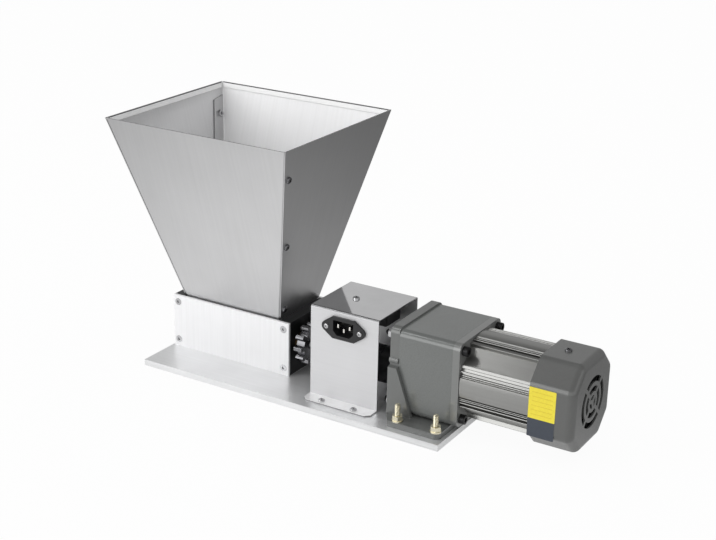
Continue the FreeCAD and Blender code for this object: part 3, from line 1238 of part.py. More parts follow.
def build_motor():
    """Motor flange, ribbed body, stator, rotor, bearings, end shield, fan and fan cover."""
    axis_z = case_centre_z
    bolt_hole = through_bolt_diameter + 2 * hole_clearance
    spigot_left = case_right - flange_spigot
    front_bearing_left = flange_right - motor_bearing_width
    flange = fused([rounded_block(case_right, flange_right, case_size, case_corner_radius),
                    rod("x", case_bore - 2 * running_clearance, spigot_left, case_right, 0, axis_z)])
    flange_cuts = [rod("x", motor_bearing_outer, front_bearing_left, flange_right, 0, axis_z),
                   rod("x", motor_shaft_diameter + 4, spigot_left, front_bearing_left, 0, axis_z)]
    flange_cuts += [rod("x", bolt_hole, case_right, flange_right, y, z) for y, z in through_bolt_places()]
    body = Part.Face(motor_outline()).extrude(Vector(motor_body_length, 0, 0))
    body.translate(Vector(flange_right, 0, 0))
    grommet_x = flange_right + winding_length
    body = body.cut(rod("x", motor_bore, flange_right, body_right, 0, axis_z))
    body = body.cut(rod("y", grommet_diameter, 0, case_size, grommet_x, axis_z))
    grommet = fused([rod("y", grommet_diameter, motor_bore / 2 - 1, motor_band_radius, grommet_x, axis_z),
                     rod("y", grommet_flange_diameter, motor_band_radius,
                         motor_band_radius + grommet_flange_thickness, grommet_x, axis_z)])
    grommet = grommet.cut(rod("y", grommet_diameter / 2, 0, case_size, grommet_x, axis_z))
    stator_left = flange_right + (motor_body_length - stator_length) / 2
    stator_right = stator_left + stator_length
    stator = tube("x", motor_bore, stator_inner, stator_left, stator_right, 0, axis_z)
    windings = [tube("x", winding_outer, winding_inner, left, left + winding_length, 0, axis_z)
                for left in (stator_left - winding_length, stator_right)]
    rotor = tube("x", stator_inner - 2 * rotor_air_gap, motor_shaft_diameter, stator_left, stator_right, 0, axis_z)
    shield_left = body_right
    rear_bearing_right = shield_left + motor_bearing_width
    shield_inset = cover_cap_wall + running_clearance
    shield = cap_block(shield_left, shield_left + shield_length, shield_inset, 0)
    shield = shield.cut(rod("x", cover_cap_size - 2 * shield_rim - 2 * cover_cap_wall,
                            shield_left + shield_wall, shield_left + shield_length, 0, axis_z))
    shield_hub = rod("x", motor_bearing_outer + shield_wall, shield_left, rear_bearing_right + 1, 0, axis_z)
    spigot = rod("x", motor_bore - 2 * running_clearance, shield_left - flange_spigot, shield_left, 0, axis_z)
    shield = fused([shield, shield_hub, spigot])
    shield_cuts = [rod("x", motor_bore - 2 * shield_rim, shield_left - flange_spigot, shield_left, 0, axis_z),
                   rod("x", motor_bearing_outer, shield_left, rear_bearing_right, 0, axis_z),
                   rod("x", motor_shaft_diameter + 4, rear_bearing_right, rear_bearing_right + 1, 0, axis_z)]
    bearings = [tube("x", motor_bearing_outer, motor_shaft_diameter + 2 * running_clearance, left,
                     left + motor_bearing_width, 0, axis_z) for left in (front_bearing_left, shield_left)]
    cap_front = cap_right - cover_cap_wall
    fan_right = cap_front - case_inner_gap
    fan_left = fan_right - fan_width
    pinion_left = layshaft_gear_left() - pinion_overhang
    pinion_right = layshaft_gear_left() + layshaft_gear_width + pinion_overhang
    lay_y, lay_z = layshaft_place()
    towards_layshaft = math.degrees(math.atan2(lay_z - axis_z, lay_y))
    pinion = case_gear(motor_pinion_teeth, pinion_left, pinion_right, 0, axis_z,
                       mesh_turn(motor_pinion_teeth, towards_layshaft))
    shaft = fused([rod("x", motor_shaft_diameter, pinion_right, fan_right, 0, axis_z), pinion])
    fan = [rod("x", fan_hub_diameter, fan_left, fan_right, 0, axis_z),
           rod("x", fan_diameter, fan_left, fan_left + fan_disc, 0, axis_z)]
    for blade in range(fan_blades):
        piece = box(fan_left, fan_right, fan_hub_diameter / 2 - 1, fan_diameter / 2 - 0.5,
                    -fan_blade_thickness / 2, fan_blade_thickness / 2)
        piece.rotate(Vector(0, 0, 0), Vector(1, 0, 0), 360.0 * blade / fan_blades)
        piece.translate(Vector(0, 0, axis_z))
        fan.append(piece)
    fan = fused(fan).cut(rod("x", motor_shaft_diameter, fan_left, fan_right, 0, axis_z))
    cap = cap_block(body_right, cap_right, 0, cover_cap_rim_radius)
    cap = cap.cut(cap_block(body_right, cap_front, cover_cap_wall, cover_cap_rim_radius - cover_cap_wall))
    slots = ring_slots(*grille_outer_ring, grille_ring_slots, cap_front)
    slots += ring_slots(*grille_middle_ring, grille_ring_slots, cap_front)
    slots += ring_slots(*grille_inner_ring, grille_inner_slots, cap_front)
    screw_x = body_right + cap_screw_from_edge
    screw_z = cover_cap_size / 2
    cap_holes = [rod("z", small_screw_diameter + 2 * hole_clearance, low, low + 2 * cover_cap_wall, screw_x, 0)
                 for low in (axis_z + screw_z - 2 * cover_cap_wall + 0.1, axis_z - screw_z - 0.1)]
    cap = cap.cut(Part.makeCompound(slots + cap_holes))
    tapped = rod("z", small_screw_diameter + 2 * running_clearance, axis_z - screw_z, axis_z + screw_z, screw_x, 0)
    shield = shield.cut(Part.makeCompound(shield_cuts)).cut(tapped)
    screw = pan_screw(small_screw_diameter, small_head_diameter, small_head_height, cap_screw_length)
    cap_screws = [placed(screw, Vector(screw_x, 0, axis_z + way * screw_z), Vector(0, 0, way)) for way in (1, -1)]
    return {
        "motor_flange": flange.cut(Part.makeCompound(flange_cuts)),
        "motor_body": body,
        "stator_core": stator,
        "stator_windings": group(windings),
        "rotor_core": rotor,
        "motor_shaft": shaft,
        "motor_bearings": group(bearings),
        "end_shield": shield,
        "fan": fan,
        "fan_cover": cap,
        "fan_cover_screws": group(cap_screws),
        "lead_grommet": grommet,
    }


def layshaft_gear_left():
    """X where the layshaft's large gear begins."""
    wall_inner = case_left + case_front_wall
    partition_right = wall_inner + 2 * case_inner_gap + output_gear_width + partition_thickness
    return partition_right + case_inner_gap / 2


def ring_slots(inner, outer, count, x0):
    """Arc slots through the fan cover's end, parted by straight spokes."""
    x1 = x0 + 2 * cover_cap_wall
    ring = tube("x", 2 * outer, 2 * inner, x0 - 1, x1, 0, case_centre_z)
    for spoke in range(count):
        bar = box(x0 - 1, x1, 0, outer + 1, -grille_spoke / 2, grille_spoke / 2)
        bar.rotate(Vector(0, 0, 0), Vector(1, 0, 0), 45 + 360.0 * spoke / count)
        bar.translate(Vector(0, 0, case_centre_z))
        ring = ring.cut(bar)
    return ring.Solids


def main():
    """Build every node and write each to its own file."""
    os.makedirs("parts", exist_ok=True)
    builders = (build_base, build_mill_body, build_rollers, build_adjusters, build_hopper, build_cover,
                build_inlet, build_capacitor, build_coupling, build_bracket, build_gear_case, build_motor)
    for builder in builders:
        for name, shape in builder().items():
            shape.exportStep("parts/" + name + ".step")


main()
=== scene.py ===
"""Looks of a motor-driven malt mill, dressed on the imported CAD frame.

Lengths are metres. The origin is the middle of the base plate's underside, +X runs
from the mill to the motor, +Y to the rear and +Z up.
"""

import json
import logging
import math
from dataclasses import dataclass
from enum import Enum
from typing import Callable, Optional, Sequence, Union

import bmesh
import bpy
import numpy as np
from mathutils import Matrix, Vector

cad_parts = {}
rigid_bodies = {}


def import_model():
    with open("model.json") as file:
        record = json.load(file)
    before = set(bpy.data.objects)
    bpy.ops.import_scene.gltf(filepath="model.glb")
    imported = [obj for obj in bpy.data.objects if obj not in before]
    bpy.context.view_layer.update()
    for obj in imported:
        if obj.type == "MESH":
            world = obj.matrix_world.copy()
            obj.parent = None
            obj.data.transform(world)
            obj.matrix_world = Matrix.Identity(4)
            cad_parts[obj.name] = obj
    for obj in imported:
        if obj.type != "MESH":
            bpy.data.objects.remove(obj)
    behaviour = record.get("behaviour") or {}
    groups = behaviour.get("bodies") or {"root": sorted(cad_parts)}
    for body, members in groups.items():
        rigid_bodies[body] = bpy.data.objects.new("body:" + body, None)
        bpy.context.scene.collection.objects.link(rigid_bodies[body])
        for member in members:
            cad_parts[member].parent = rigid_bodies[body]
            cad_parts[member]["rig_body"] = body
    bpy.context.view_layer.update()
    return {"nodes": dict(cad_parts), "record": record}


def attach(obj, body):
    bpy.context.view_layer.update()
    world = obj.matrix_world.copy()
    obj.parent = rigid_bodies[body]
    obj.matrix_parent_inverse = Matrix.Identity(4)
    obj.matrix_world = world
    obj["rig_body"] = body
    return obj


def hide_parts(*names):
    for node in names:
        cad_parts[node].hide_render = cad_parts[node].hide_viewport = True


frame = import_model()

MM = 0.001
ROOT_BODY = "frame"
WELD = 0.002 * MM
TINY = 1e-6
QUARTER = math.pi / 2
MOTOR_AXIS_Z = 59.3 * MM
UP = Vector((0, 0, 1))
DOWN = Vector((0, 0, -1))
FORWARD = Vector((0, -1, 0))
REARWARD = Vector((0, 1, 0))
TO_MOTOR = Vector((1, 0, 0))

logging.basicConfig(level=logging.INFO, format="%(name)s: %(message)s")
log = logging.getLogger("malt mill")

Value = Union[bpy.types.NodeSocket, float]
Inputs = dict[Union[str, int], object]
Coordinates = Union[np.ndarray, float]


class Grain(Enum):
    """The pattern that a finish carries in its surface."""

    BRUSHED = "fine parallel scratches"
    CAST = "fine sand-cast pimples"
    SMOOTH = "an even moulded or painted skin"


class Recess(Enum):
    """The drive recess in a screw's head."""

    HEXAGON = "hexagon socket"
    CROSS = "cross slot"


class NodeBoard:
    """A node tree, with short calls to add and join its nodes."""

    NOISE_ROUGHNESS = 0.55

    def __init__(self, tree: bpy.types.NodeTree) -> None:
        """Take a node tree over and empty it."""
        self.tree = tree
        self.tree.nodes.clear()

    def feed(self, node: bpy.types.Node, inputs: Inputs) -> None:
        """Set or link a node's inputs.

        Args:
            node: the node.
            inputs: for each input, a value or the output that is linked to it.
        """
        for key, value in inputs.items():
            if isinstance(value, bpy.types.NodeSocket):
                self.tree.links.new(value, node.inputs[key])
            else:
                node.inputs[key].default_value = value

    def node(self, kind: str, inputs: Inputs, **settings: object) -> bpy.types.Node:
        """Add a node.

        Args:
            kind: the node's type, without the words that all types begin with.
            inputs: for each input, a value or the output that is linked to it.
            **settings: the node's own properties.

        Returns:
            The new node.
        """
        made = self.tree.nodes.new("ShaderNode" + kind)
        for key, value in settings.items():
            setattr(made, key, value)
        self.feed(made, inputs)
        return made

    def place(self, kind: str) -> bpy.types.NodeSocket:
        """Coordinates of the shaded point, of the kind that is named."""
        return self.node("TexCoord", {}).outputs[kind]

    def maths(self, operation: str, first: Value, second: Value) -> bpy.types.NodeSocket:
        """The result of one operation on two values."""
        return self.node("Math", {0: first, 1: second}, operation=operation).outputs[0]

    def noise(self, cells: Sequence[float], detail: float, distortion: float = 0.0) -> bpy.types.NodeSocket:
        """Fractal noise between 0 and 1, in object coordinates.

        Args:
            cells: cells per metre along X, Y and Z.
            detail: number of finer layers.
            distortion: how far the pattern is warped.

        Returns:
            The noise.
        """
        scaled = self.node("Mapping", {"Vector": self.place("Object"), "Scale": tuple(cells)})
        noise = self.node("TexNoise", {"Vector": scaled.outputs["Vector"], "Scale": 1.0, "Detail": detail,
                                       "Roughness": self.NOISE_ROUGHNESS, "Distortion": distortion})
        return noise.outputs["Fac"]

    def span(self, source: bpy.types.NodeSocket, low: float, high: float,
             from_low: float = 0.3, from_high: float = 0.7) -> bpy.types.NodeSocket:
        """Carry a value linearly from one range to another, clamped at both ends.

        Args:
            source: the value.
            low: result at the lower end.
            high: result at the upper end.
            from_low: the value's lower end.
            from_high: the value's upper end.

        Returns:
            The carried value.
        """
        span = self.node("MapRange", {"Value": source, "From Min": from_low, "From Max": from_high,
                                      "To Min": low, "To Max": high})
        return span.outputs["Result"]


class ShaderSheet(NodeBoard):
    """A material's node tree round one principled shader."""

    def __init__(self, name: str) -> None:
        """Start a tree that ends in a principled shader.

        Args:
            name: the material's name.
        """
        self.material = bpy.data.materials.new(name)
        self.material.use_nodes = True
        super().__init__(self.material.node_tree)
        self.shader = self.node("BsdfPrincipled", {})
        self.output = self.node("OutputMaterial", {"Surface": self.shader.outputs["BSDF"]})


def even(cells: float) -> tuple[float, float, float]:
    """The same number of cells along all three axes."""
    return cells, cells, cells


@dataclass(frozen=True)
class Finish:
    """One surface finish, from its colour down to the grain in it.

    Attributes:
        name: what the finish is called.
        colour: linear red, green and blue.
        metallic: 1 for bare metal, 0 for paint, rubber and plastic.
        roughness: middle roughness of the surface.
        grain: the pattern in the surface.
        cells: how many pattern cells there are per metre along X, Y and Z.
        tint: share by which the grain lightens and darkens the colour.
        clouds: share by which broad, soft patches do the same.
        swing: how far the grain moves the roughness either way.
        depth: height of the grain in metres.
        coat: weight of a clear coat.
        coat_roughness: roughness of the clear coat.
        relief: share of the grain's bump that is kept.
    """

    name: str
    colour: tuple[float, float, float]
    metallic: float
    roughness: float
    grain: Grain = Grain.SMOOTH
    cells: tuple[float, float, float] = even(900.0)
    tint: float = 0.04
    clouds: float = 0.04
    swing: float = 0.05
    depth: float = 0.02 * MM
    coat: float = 0.0
    coat_roughness: float = 0.14
    relief: float = 0.6

    CLOUD_CELLS = even(14.0)
    CLOUD_DETAIL = 3.0
    LEAST_ROUGHNESS = 0.02
    BRUSHED_DETAIL = 5.0
    CAST_DETAIL = 6.0
    CAST_DISTORTION = 0.4
    SMOOTH_DETAIL = 2.0

    def shades(self, share: float) -> tuple[tuple[float, ...], tuple[float, ...]]:
        """The colour made darker and lighter.

        Args:
            share: by how much.

        Returns:
            The darker and the lighter colour.
        """
        dark = tuple(min(1.0, value * (1 - share)) for value in self.colour)
        light = tuple(min(1.0, value * (1 + share)) for value in self.colour)
        return dark, light

    def material(self) -> bpy.types.Material:
        """The finish as a material, built once and then shared.

        Grain and clouds are added in the ratio of their shares, and their sum carries the
        colour from its darker to its lighter shade. The grain alone moves the roughness
        and makes the relief.

        Returns:
            The material.
        """
        title = "finish_" + self.name
        known = bpy.data.materials.get(title)
        if known is not None:
            return known
        sheet = ShaderSheet(title)
        grain = self.grain_pattern(sheet)
        clouds = sheet.noise(self.CLOUD_CELLS, self.CLOUD_DETAIL)
        whole = self.tint + self.clouds
        part = sheet.maths("MULTIPLY", clouds, self.clouds / whole)
        both = sheet.node("Math", {0: grain, 1: self.tint / whole, 2: part}, operation="MULTIPLY_ADD")
        dark, light = self.shades(whole)
        colour = sheet.node("Mix", {"Factor": sheet.span(both.outputs[0], 0.0, 1.0), "A": (*dark, 1.0),
                                    "B": (*light, 1.0)}, data_type="RGBA")
        low = max(self.LEAST_ROUGHNESS, self.roughness - self.swing)
        bump = sheet.node("Bump", {"Height": grain, "Strength": self.relief, "Distance": self.depth})
        sheet.feed(sheet.shader, {
            "Base Color": colour.outputs["Result"],
            "Metallic": self.metallic,
            "Roughness": sheet.span(grain, low, self.roughness + self.swing),
            "Coat Weight": self.coat,
            "Coat Roughness": self.coat_roughness,
            "Normal": bump.outputs["Normal"],
        })
        return sheet.material

    def grain_pattern(self, sheet: ShaderSheet) -> bpy.types.NodeSocket:
        """The grain as a value between 0 and 1.

        Args:
            sheet: the node tree that it is added to.

        Returns:
            The pattern.
        """
        if self.grain is Grain.BRUSHED:
            return sheet.noise(self.cells, self.BRUSHED_DETAIL)
        if self.grain is Grain.CAST:
            return sheet.noise(self.cells, self.CAST_DETAIL, self.CAST_DISTORTION)
        return sheet.noise(self.cells, self.SMOOTH_DETAIL)


POLISHED: dict[str, float] = {"tint": 0.02, "clouds": 0.02, "swing": 0.02, "depth": 0.002 * MM}
ROLLED: dict[str, float] = {"tint": 0.025, "clouds": 0.025, "swing": 0.03, "depth": 0.003 * MM}
PAINTED: dict[str, float] = {"tint": 0.015, "clouds": 0.04, "swing": 0.02, "depth": 0.002 * MM, "coat": 0.5}


class Finishes:
    """Every finish of the mill."""

    BASE = Finish("base_aluminium", (0.80, 0.805, 0.81), 0.6, 0.36, Grain.BRUSHED, (8.0, 700.0, 700.0),
                  tint=0.05, clouds=0.05, swing=0.07, depth=0.01 * MM)
    CHEEK = Finish("cheek_aluminium", (0.93, 0.93, 0.94), 0.3, 0.6, Grain.BRUSHED, (400.0, 400.0, 10.0),
                   tint=0.03, clouds=0.02, swing=0.06, depth=0.006 * MM)
    # Painted shade: the end plates and bearing blocks are bare steel, painted nearly black because this end
    # of the mill lies in deep shade.
    END_PLATE_SHADE = Finish("end_plate_steel", (0.035, 0.035, 0.037), 0.8, 0.40, Grain.BRUSHED,
                       (500.0, 40.0, 500.0))
    ROLLER = Finish("roller_steel", (0.34, 0.34, 0.35), 1.0, 0.34, Grain.BRUSHED, (20.0, 400.0, 400.0))
    # Painted shade: steel darkened well below bare steel, for the gears in the mill's shaded end and for the
    # hopper's and fan cover's screws.
    GEAR = Finish("gear_steel", (0.22, 0.22, 0.23), 1.0, 0.26, Grain.BRUSHED, (500.0, 90.0, 90.0))
    SHAFT = Finish("shaft_steel", (0.48, 0.48, 0.50), 1.0, 0.25, Grain.BRUSHED, (900.0, 60.0, 60.0))
    # Painted shade: the bushes are bronze, darkened because they sit in the mill's shaded end.
    BRONZE_SHADE = Finish("bush_bronze", (0.24, 0.17, 0.09), 1.0, 0.42, Grain.CAST, even(1200.0))
    # Painted light: the hem is the hopper's own steel, painted lighter and with little metal sheen.
    HEM_PAINTED_LIGHT = Finish("hem_painted_light", (0.90, 0.90, 0.90), 0.2, 0.5, Grain.BRUSHED, (200.0, 200.0, 400.0),
                 tint=0.03, clouds=0.02, depth=0.004 * MM)
    HOPPER = Finish("hopper_steel", (0.64, 0.64, 0.645), 1.0, 0.34, Grain.BRUSHED,
                    (330.0, 4.0, 4.0), **ROLLED)
    HOPPER_SIDE = Finish("hopper_side_steel", (0.65, 0.65, 0.655), 1.0, 0.34, Grain.BRUSHED,
                         (4.0, 330.0, 4.0), **ROLLED)
    # Painted shade: dark steel on the rim's upper edge and the flanges' free edges.
    HOPPER_EDGE_SHADE = Finish("hopper_edge_painted_shade", (0.25, 0.25, 0.255), 1.0, 0.40, Grain.SMOOTH, even(60.0),
                         **POLISHED)
    # Painted light: the inner faces of the front and rear sheets, the same steel painted lighter and less
    # metallic.
    HOPPER_INSIDE_LIT = Finish("hopper_inside_painted_light", (0.94, 0.94, 0.945), 0.15, 0.50, Grain.BRUSHED,
                           (330.0, 4.0, 4.0), tint=0.03, clouds=0.02, swing=0.05, depth=0.003 * MM)
    # Painted shade: the corner flanges, the same steel painted darker.
    HOPPER_FLANGE_SHADE = Finish("hopper_flange_painted_shade", (0.54, 0.54, 0.545), 1.0, 0.34, Grain.BRUSHED,
                           (4.0, 330.0, 4.0), tint=0.04, clouds=0.03, swing=0.05, depth=0.003 * MM)
    COVER_WALL = Finish("cover_wall_steel", (0.70, 0.70, 0.71), 0.8, 0.58, Grain.BRUSHED,
                        (5.0, 400.0, 400.0), **POLISHED)
    # Painted light: the tops of the cover's feet, the cover's steel painted lighter and less metallic.
    COVER_FOOT_LIT = Finish("cover_foot_painted_light", (0.92, 0.92, 0.925), 0.3, 0.40, Grain.BRUSHED,
                        (5.0, 400.0, 400.0), **POLISHED)
    # Painted shade: dark steel along the cover's bends and the cut edges round its feet.
    COVER_BEND_SHADE = Finish("cover_bend_painted_shade", (0.24, 0.24, 0.245), 1.0, 0.30, Grain.SMOOTH, even(60.0),
                        **POLISHED)
    COVER = Finish("cover_steel", (0.76, 0.76, 0.77), 1.0, 0.07, Grain.SMOOTH, even(60.0), **POLISHED)
    SCREW = Finish("screw_steel", (0.55, 0.55, 0.56), 1.0, 0.24, Grain.SMOOTH, even(1500.0))
    INLET = Finish("inlet_plastic", (0.012, 0.012, 0.013), 0.0, 0.34, Grain.SMOOTH, even(2500.0))
    PIN = Finish("pin_metal", (0.78, 0.76, 0.72), 1.0, 0.16)
    CAPACITOR = Finish("capacitor_plastic", (0.03, 0.03, 0.033), 0.0, 0.5)
    # Painted shade: the coupling's hubs are painted nearly black because the coupling lies in deep shade
    # under its cover.
    COUPLING = Finish("coupling_steel", (0.07, 0.07, 0.073), 0.8, 0.34, Grain.BRUSHED, (900.0, 50.0, 50.0))
    # Painted shade: the rubber spider is painted black because it lies in deep shade under the cover.
    SPIDER = Finish("spider_rubber", (0.02, 0.02, 0.02), 0.0, 0.55)
    BLACK = Finish("black_steel", (0.018, 0.018, 0.019), 0.6, 0.36, Grain.CAST, even(1800.0))
    BRACKET = Finish("bracket_casting", (0.155, 0.16, 0.156), 0.25, 0.36, Grain.CAST, even(1800.0),
                     tint=0.03, clouds=0.05, swing=0.03, depth=0.004 * MM, coat=0.5)
    ZINC = Finish("yellow_zinc", (0.76, 0.71, 0.55), 1.0, 0.24, Grain.SMOOTH, even(1200.0),
                  tint=0.10, clouds=0.12)
    FLANGE = Finish("flange_casting", (0.22, 0.225, 0.22), 0.3, 0.30, Grain.CAST, even(2600.0), **PAINTED)
    CASE = Finish("case_casting", (0.165, 0.173, 0.168), 0.2, 0.28, Grain.CAST, even(2600.0), **PAINTED)
    BODY = Finish("body_aluminium", (0.35, 0.35, 0.34), 0.95, 0.30, Grain.BRUSHED, (6.0, 420.0, 420.0),
                  tint=0.04, clouds=0.03, swing=0.03, depth=0.003 * MM)
    BEARING = Finish("bearing_steel", (0.60, 0.60, 0.62), 1.0, 0.16, Grain.BRUSHED, (900.0, 40.0, 40.0))
    CORE = Finish("core_steel", (0.10, 0.10, 0.11), 0.9, 0.45, Grain.BRUSHED, (2000.0, 20.0, 20.0))
    WINDING = Finish("winding_copper", (0.48, 0.18, 0.07), 0.9, 0.32, Grain.BRUSHED, (1500.0, 60.0, 60.0))
    FAN = Finish("fan_plastic", (0.02, 0.02, 0.021), 0.0, 0.5)
    CAP = Finish("cap_paint", (0.125, 0.127, 0.124), 0.15, 0.28, Grain.CAST, even(2600.0), **PAINTED)
    GROMMET = Finish("grommet_rubber", (0.015, 0.015, 0.015), 0.0, 0.6)
    PANEL_YELLOW = Finish("panel_yellow", (0.93, 0.78, 0.06), 0.0, 0.38, Grain.SMOOTH, even(500.0))
    PANEL_DARK = Finish("panel_dark", (0.055, 0.065, 0.085), 0.0, 0.35, Grain.SMOOTH, even(500.0))
    PANEL_RULE = Finish("panel_rule", (0.80, 0.63, 0.04), 0.0, 0.4, Grain.SMOOTH, even(500.0))


class Surface:
    """Turns arrays of points into finished mesh objects."""

    @staticmethod
    def grid_faces(rows: int, columns: int, close_rows: bool = False) -> np.ndarray:
        """Quads of a grid whose columns run round in a loop.

        Point (i, j) has the index i * columns + j. Each quad joins (i, j), (i, j + 1),
        (i + 1, j + 1) and (i + 1, j), with j taken round.

        Args:
            rows: number of rows of points.
            columns: number of points in each closed row.
            close_rows: also join the last row to the first.

        Returns:
            An array of quads, one per line.
        """
        last = rows if close_rows else rows - 1
        i, j = np.meshgrid(np.arange(last), np.arange(columns), indexing="ij")
        following = (i + 1) % rows
        beside = (j + 1) % columns
        quads = np.stack([i * columns + j, i * columns + beside, following * columns + beside,
                          following * columns + j], axis=-1)
        return quads.reshape(-1, 4)

    @staticmethod
    def loop(x: Coordinates, y: Coordinates, z: Coordinates) -> np.ndarray:
        """Points from their three coordinates, of which some may be single numbers."""
        return np.stack(np.broadcast_arrays(x, y, z), axis=-1)

    @staticmethod
    def mesh(name: str, points: np.ndarray, faces: Sequence[Sequence[int]],
             smooth: float) -> bpy.types.Object:
        """A mesh object with outward faces and edges kept sharp past an angle.

        Args:
            name: the object's name.
            points: one point per line, in metres.
            faces: point numbers of each face.
            smooth: degrees between faces up to which the edge is shaded smooth.

        Returns:
            The new object, at the origin.
        """
        data = bpy.data.meshes.new(name)
        data.from_pydata(np.asarray(points, float).reshape(-1, 3).tolist(), [], [list(f) for f in faces])
        work = bmesh.new()
        work.from_mesh(data)
        bmesh.ops.recalc_face_normals(work, faces=work.faces)
        work.to_mesh(data)
        work.free()
        return Surface.placed(name, data, smooth)

    @staticmethod
    def placed(name: str, data: bpy.types.Mesh, smooth: float) -> bpy.types.Object:
        """Put a mesh in the scene, with its large faces kept flat.

        Args:
            name: the object's name.
            data: the mesh.
            smooth: degrees between faces up to which the edge is shaded smooth.

        Returns:
            The new object, at the origin.
        """
        data.shade_smooth()
        data.set_sharp_from_angle(angle=math.radians(smooth))
        made = bpy.data.objects.new(name, data)
        weighted = made.modifiers.new("flat_faces", "WEIGHTED_NORMAL")
        weighted.keep_sharp = True
        bpy.context.scene.collection.objects.link(made)
        return made

    @staticmethod
    def tube(name: str, rows: np.ndarray, smooth: float) -> bpy.types.Object:
        """A closed skin over a stack of closed loops, with a flat face over each end.

        Args:
            name: the object's name.
            rows: array of shape (rows, columns, 3).
            smooth: degrees up to which edges are shaded smooth.

        Returns:
            The new object.
        """
        count, columns = rows.shape[:2]
        faces = Surface.grid_faces(count, columns).tolist()
        faces.append(list(range(columns))[::-1])
        faces.append(list(range((count - 1) * columns, count * columns)))
        return Surface.mesh(name, rows.reshape(-1, 3), faces, smooth)

    @staticmethod
    def ring(name: str, rows: np.ndarray, smooth: float) -> bpy.types.Object:
        """A closed ring skin over loops that also join last to first."""
        count, columns = rows.shape[:2]
        return Surface.mesh(name, rows.reshape(-1, 3), Surface.grid_faces(count, columns, True), smooth)

    @staticmethod
    def joined(name: str, objects: Sequence[bpy.types.Object], smooth: float) -> bpy.types.Object:
        """One object from several whose meshes are simply put side by side.

        Args:
            name: the new object's name.
            objects: the objects, which are removed.
            smooth: degrees up to which edges are shaded smooth.

        Returns:
            The new object.
        """
        work = bmesh.new()
        for piece in objects:
            work.from_mesh(piece.data)
            data = piece.data
            bpy.data.objects.remove(piece)
            bpy.data.meshes.remove(data)
        data = bpy.data.meshes.new(name)
        work.to_mesh(data)
        work.free()
        return Surface.placed(name, data, smooth)


class Dresser:
    """Gives CAD nodes and new pieces their finish, body and name."""

    FLAT_DEGREES = 0.6
    EDGE_FACETS = 2
    EDGE_PROFILE = 0.6

    @staticmethod
    def body_of(node: str) -> str:
        """The CAD body that a node belongs to."""
        return frame["nodes"][node]["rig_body"]

    @staticmethod
    def slot_of(node: str) -> str:
        """The record's material slot of a CAD node."""
        return next(part["material_slot"] for part in frame["record"]["subparts"] if part["node"] == node)

    @staticmethod
    def paint(piece: bpy.types.Object, finish: Finish) -> None:
        """Give a piece one finish."""
        piece.data.materials.clear()
        piece.data.materials.append(finish.material())

    @classmethod
    def piece(cls, piece: bpy.types.Object, finish: Finish, node: str) -> bpy.types.Object:
        """Finish a new piece and let it stand for a CAD node.

        Args:
            piece: the new piece.
            finish: its finish.
            node: the CAD node.

        Returns:
            The piece.
        """
        cls.paint(piece, finish)
        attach(piece, cls.body_of(node))
        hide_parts(node)
        cls.slot_of(node)
        log.info("%s stands for %s, %d faces, in %s", piece.name, node, len(piece.data.polygons), finish.name)
        return piece

    @staticmethod
    def second_finish(piece: bpy.types.Object, finish: Finish,
                      chosen: Callable[[bpy.types.MeshPolygon], bool]) -> None:
        """Give some faces of a piece another finish.

        Args:
            piece: the piece.
            finish: the other finish.
            chosen: tells whether a face gets it.
        """
        piece.data.materials.append(finish.material())
        for face in piece.data.polygons:
            if chosen(face):
                face.material_index = len(piece.data.materials) - 1

    @classmethod
    def refined(cls, node: str, finish: Finish, edge: float, smooth: float = 32.0) -> bpy.types.Object:
        """A merged copy of a CAD node with its sharp edges broken.

        Flat areas are joined into single faces, then every edge sharper than the
        smoothing angle is bevelled by two small facets.

        Args:
            node: the CAD node that the copy stands for.
            finish: the copy's finish.
            edge: width of the broken edge in metres, or 0 for none.
            smooth: degrees up to which edges are shaded smooth.

        Returns:
            The new piece.
        """
        work = bmesh.new()
        work.from_mesh(frame["nodes"][node].data)
        bmesh.ops.remove_doubles(work, verts=work.verts, dist=WELD)
        bmesh.ops.dissolve_limit(work, angle_limit=math.radians(cls.FLAT_DEGREES), verts=work.verts,
                                 edges=work.edges)
        if edge > 0:
            sharp = [e for e in work.edges if len(e.link_faces) == 2
                     and e.calc_face_angle(0.0) > math.radians(smooth)]
            bmesh.ops.bevel(work, geom=sharp, offset=edge, offset_type="OFFSET", segments=cls.EDGE_FACETS,
                            profile=cls.EDGE_PROFILE, affect="EDGES", clamp_overlap=True)
        data = bpy.data.meshes.new(node + "_dressed")
        work.to_mesh(data)
        work.free()
        return cls.piece(Surface.placed(node + "_dressed", data, smooth), finish, node)


@dataclass(frozen=True)
class Trim:
    """How some CAD nodes are dressed alike.

    Attributes:
        finish: their finish.
        edge: width of their broken edges, or 0 for none.
        nodes: the nodes' names, with a space between them.
        smooth: degrees up to which edges are shaded smooth.
    """

    finish: Finish
    edge: float
    nodes: str
    smooth: float = 32.0

    def build(self) -> None:
        """Refine the nodes one after the other."""
        for node in self.nodes.split():
            Dresser.refined(node, self.finish, self.edge, self.smooth)


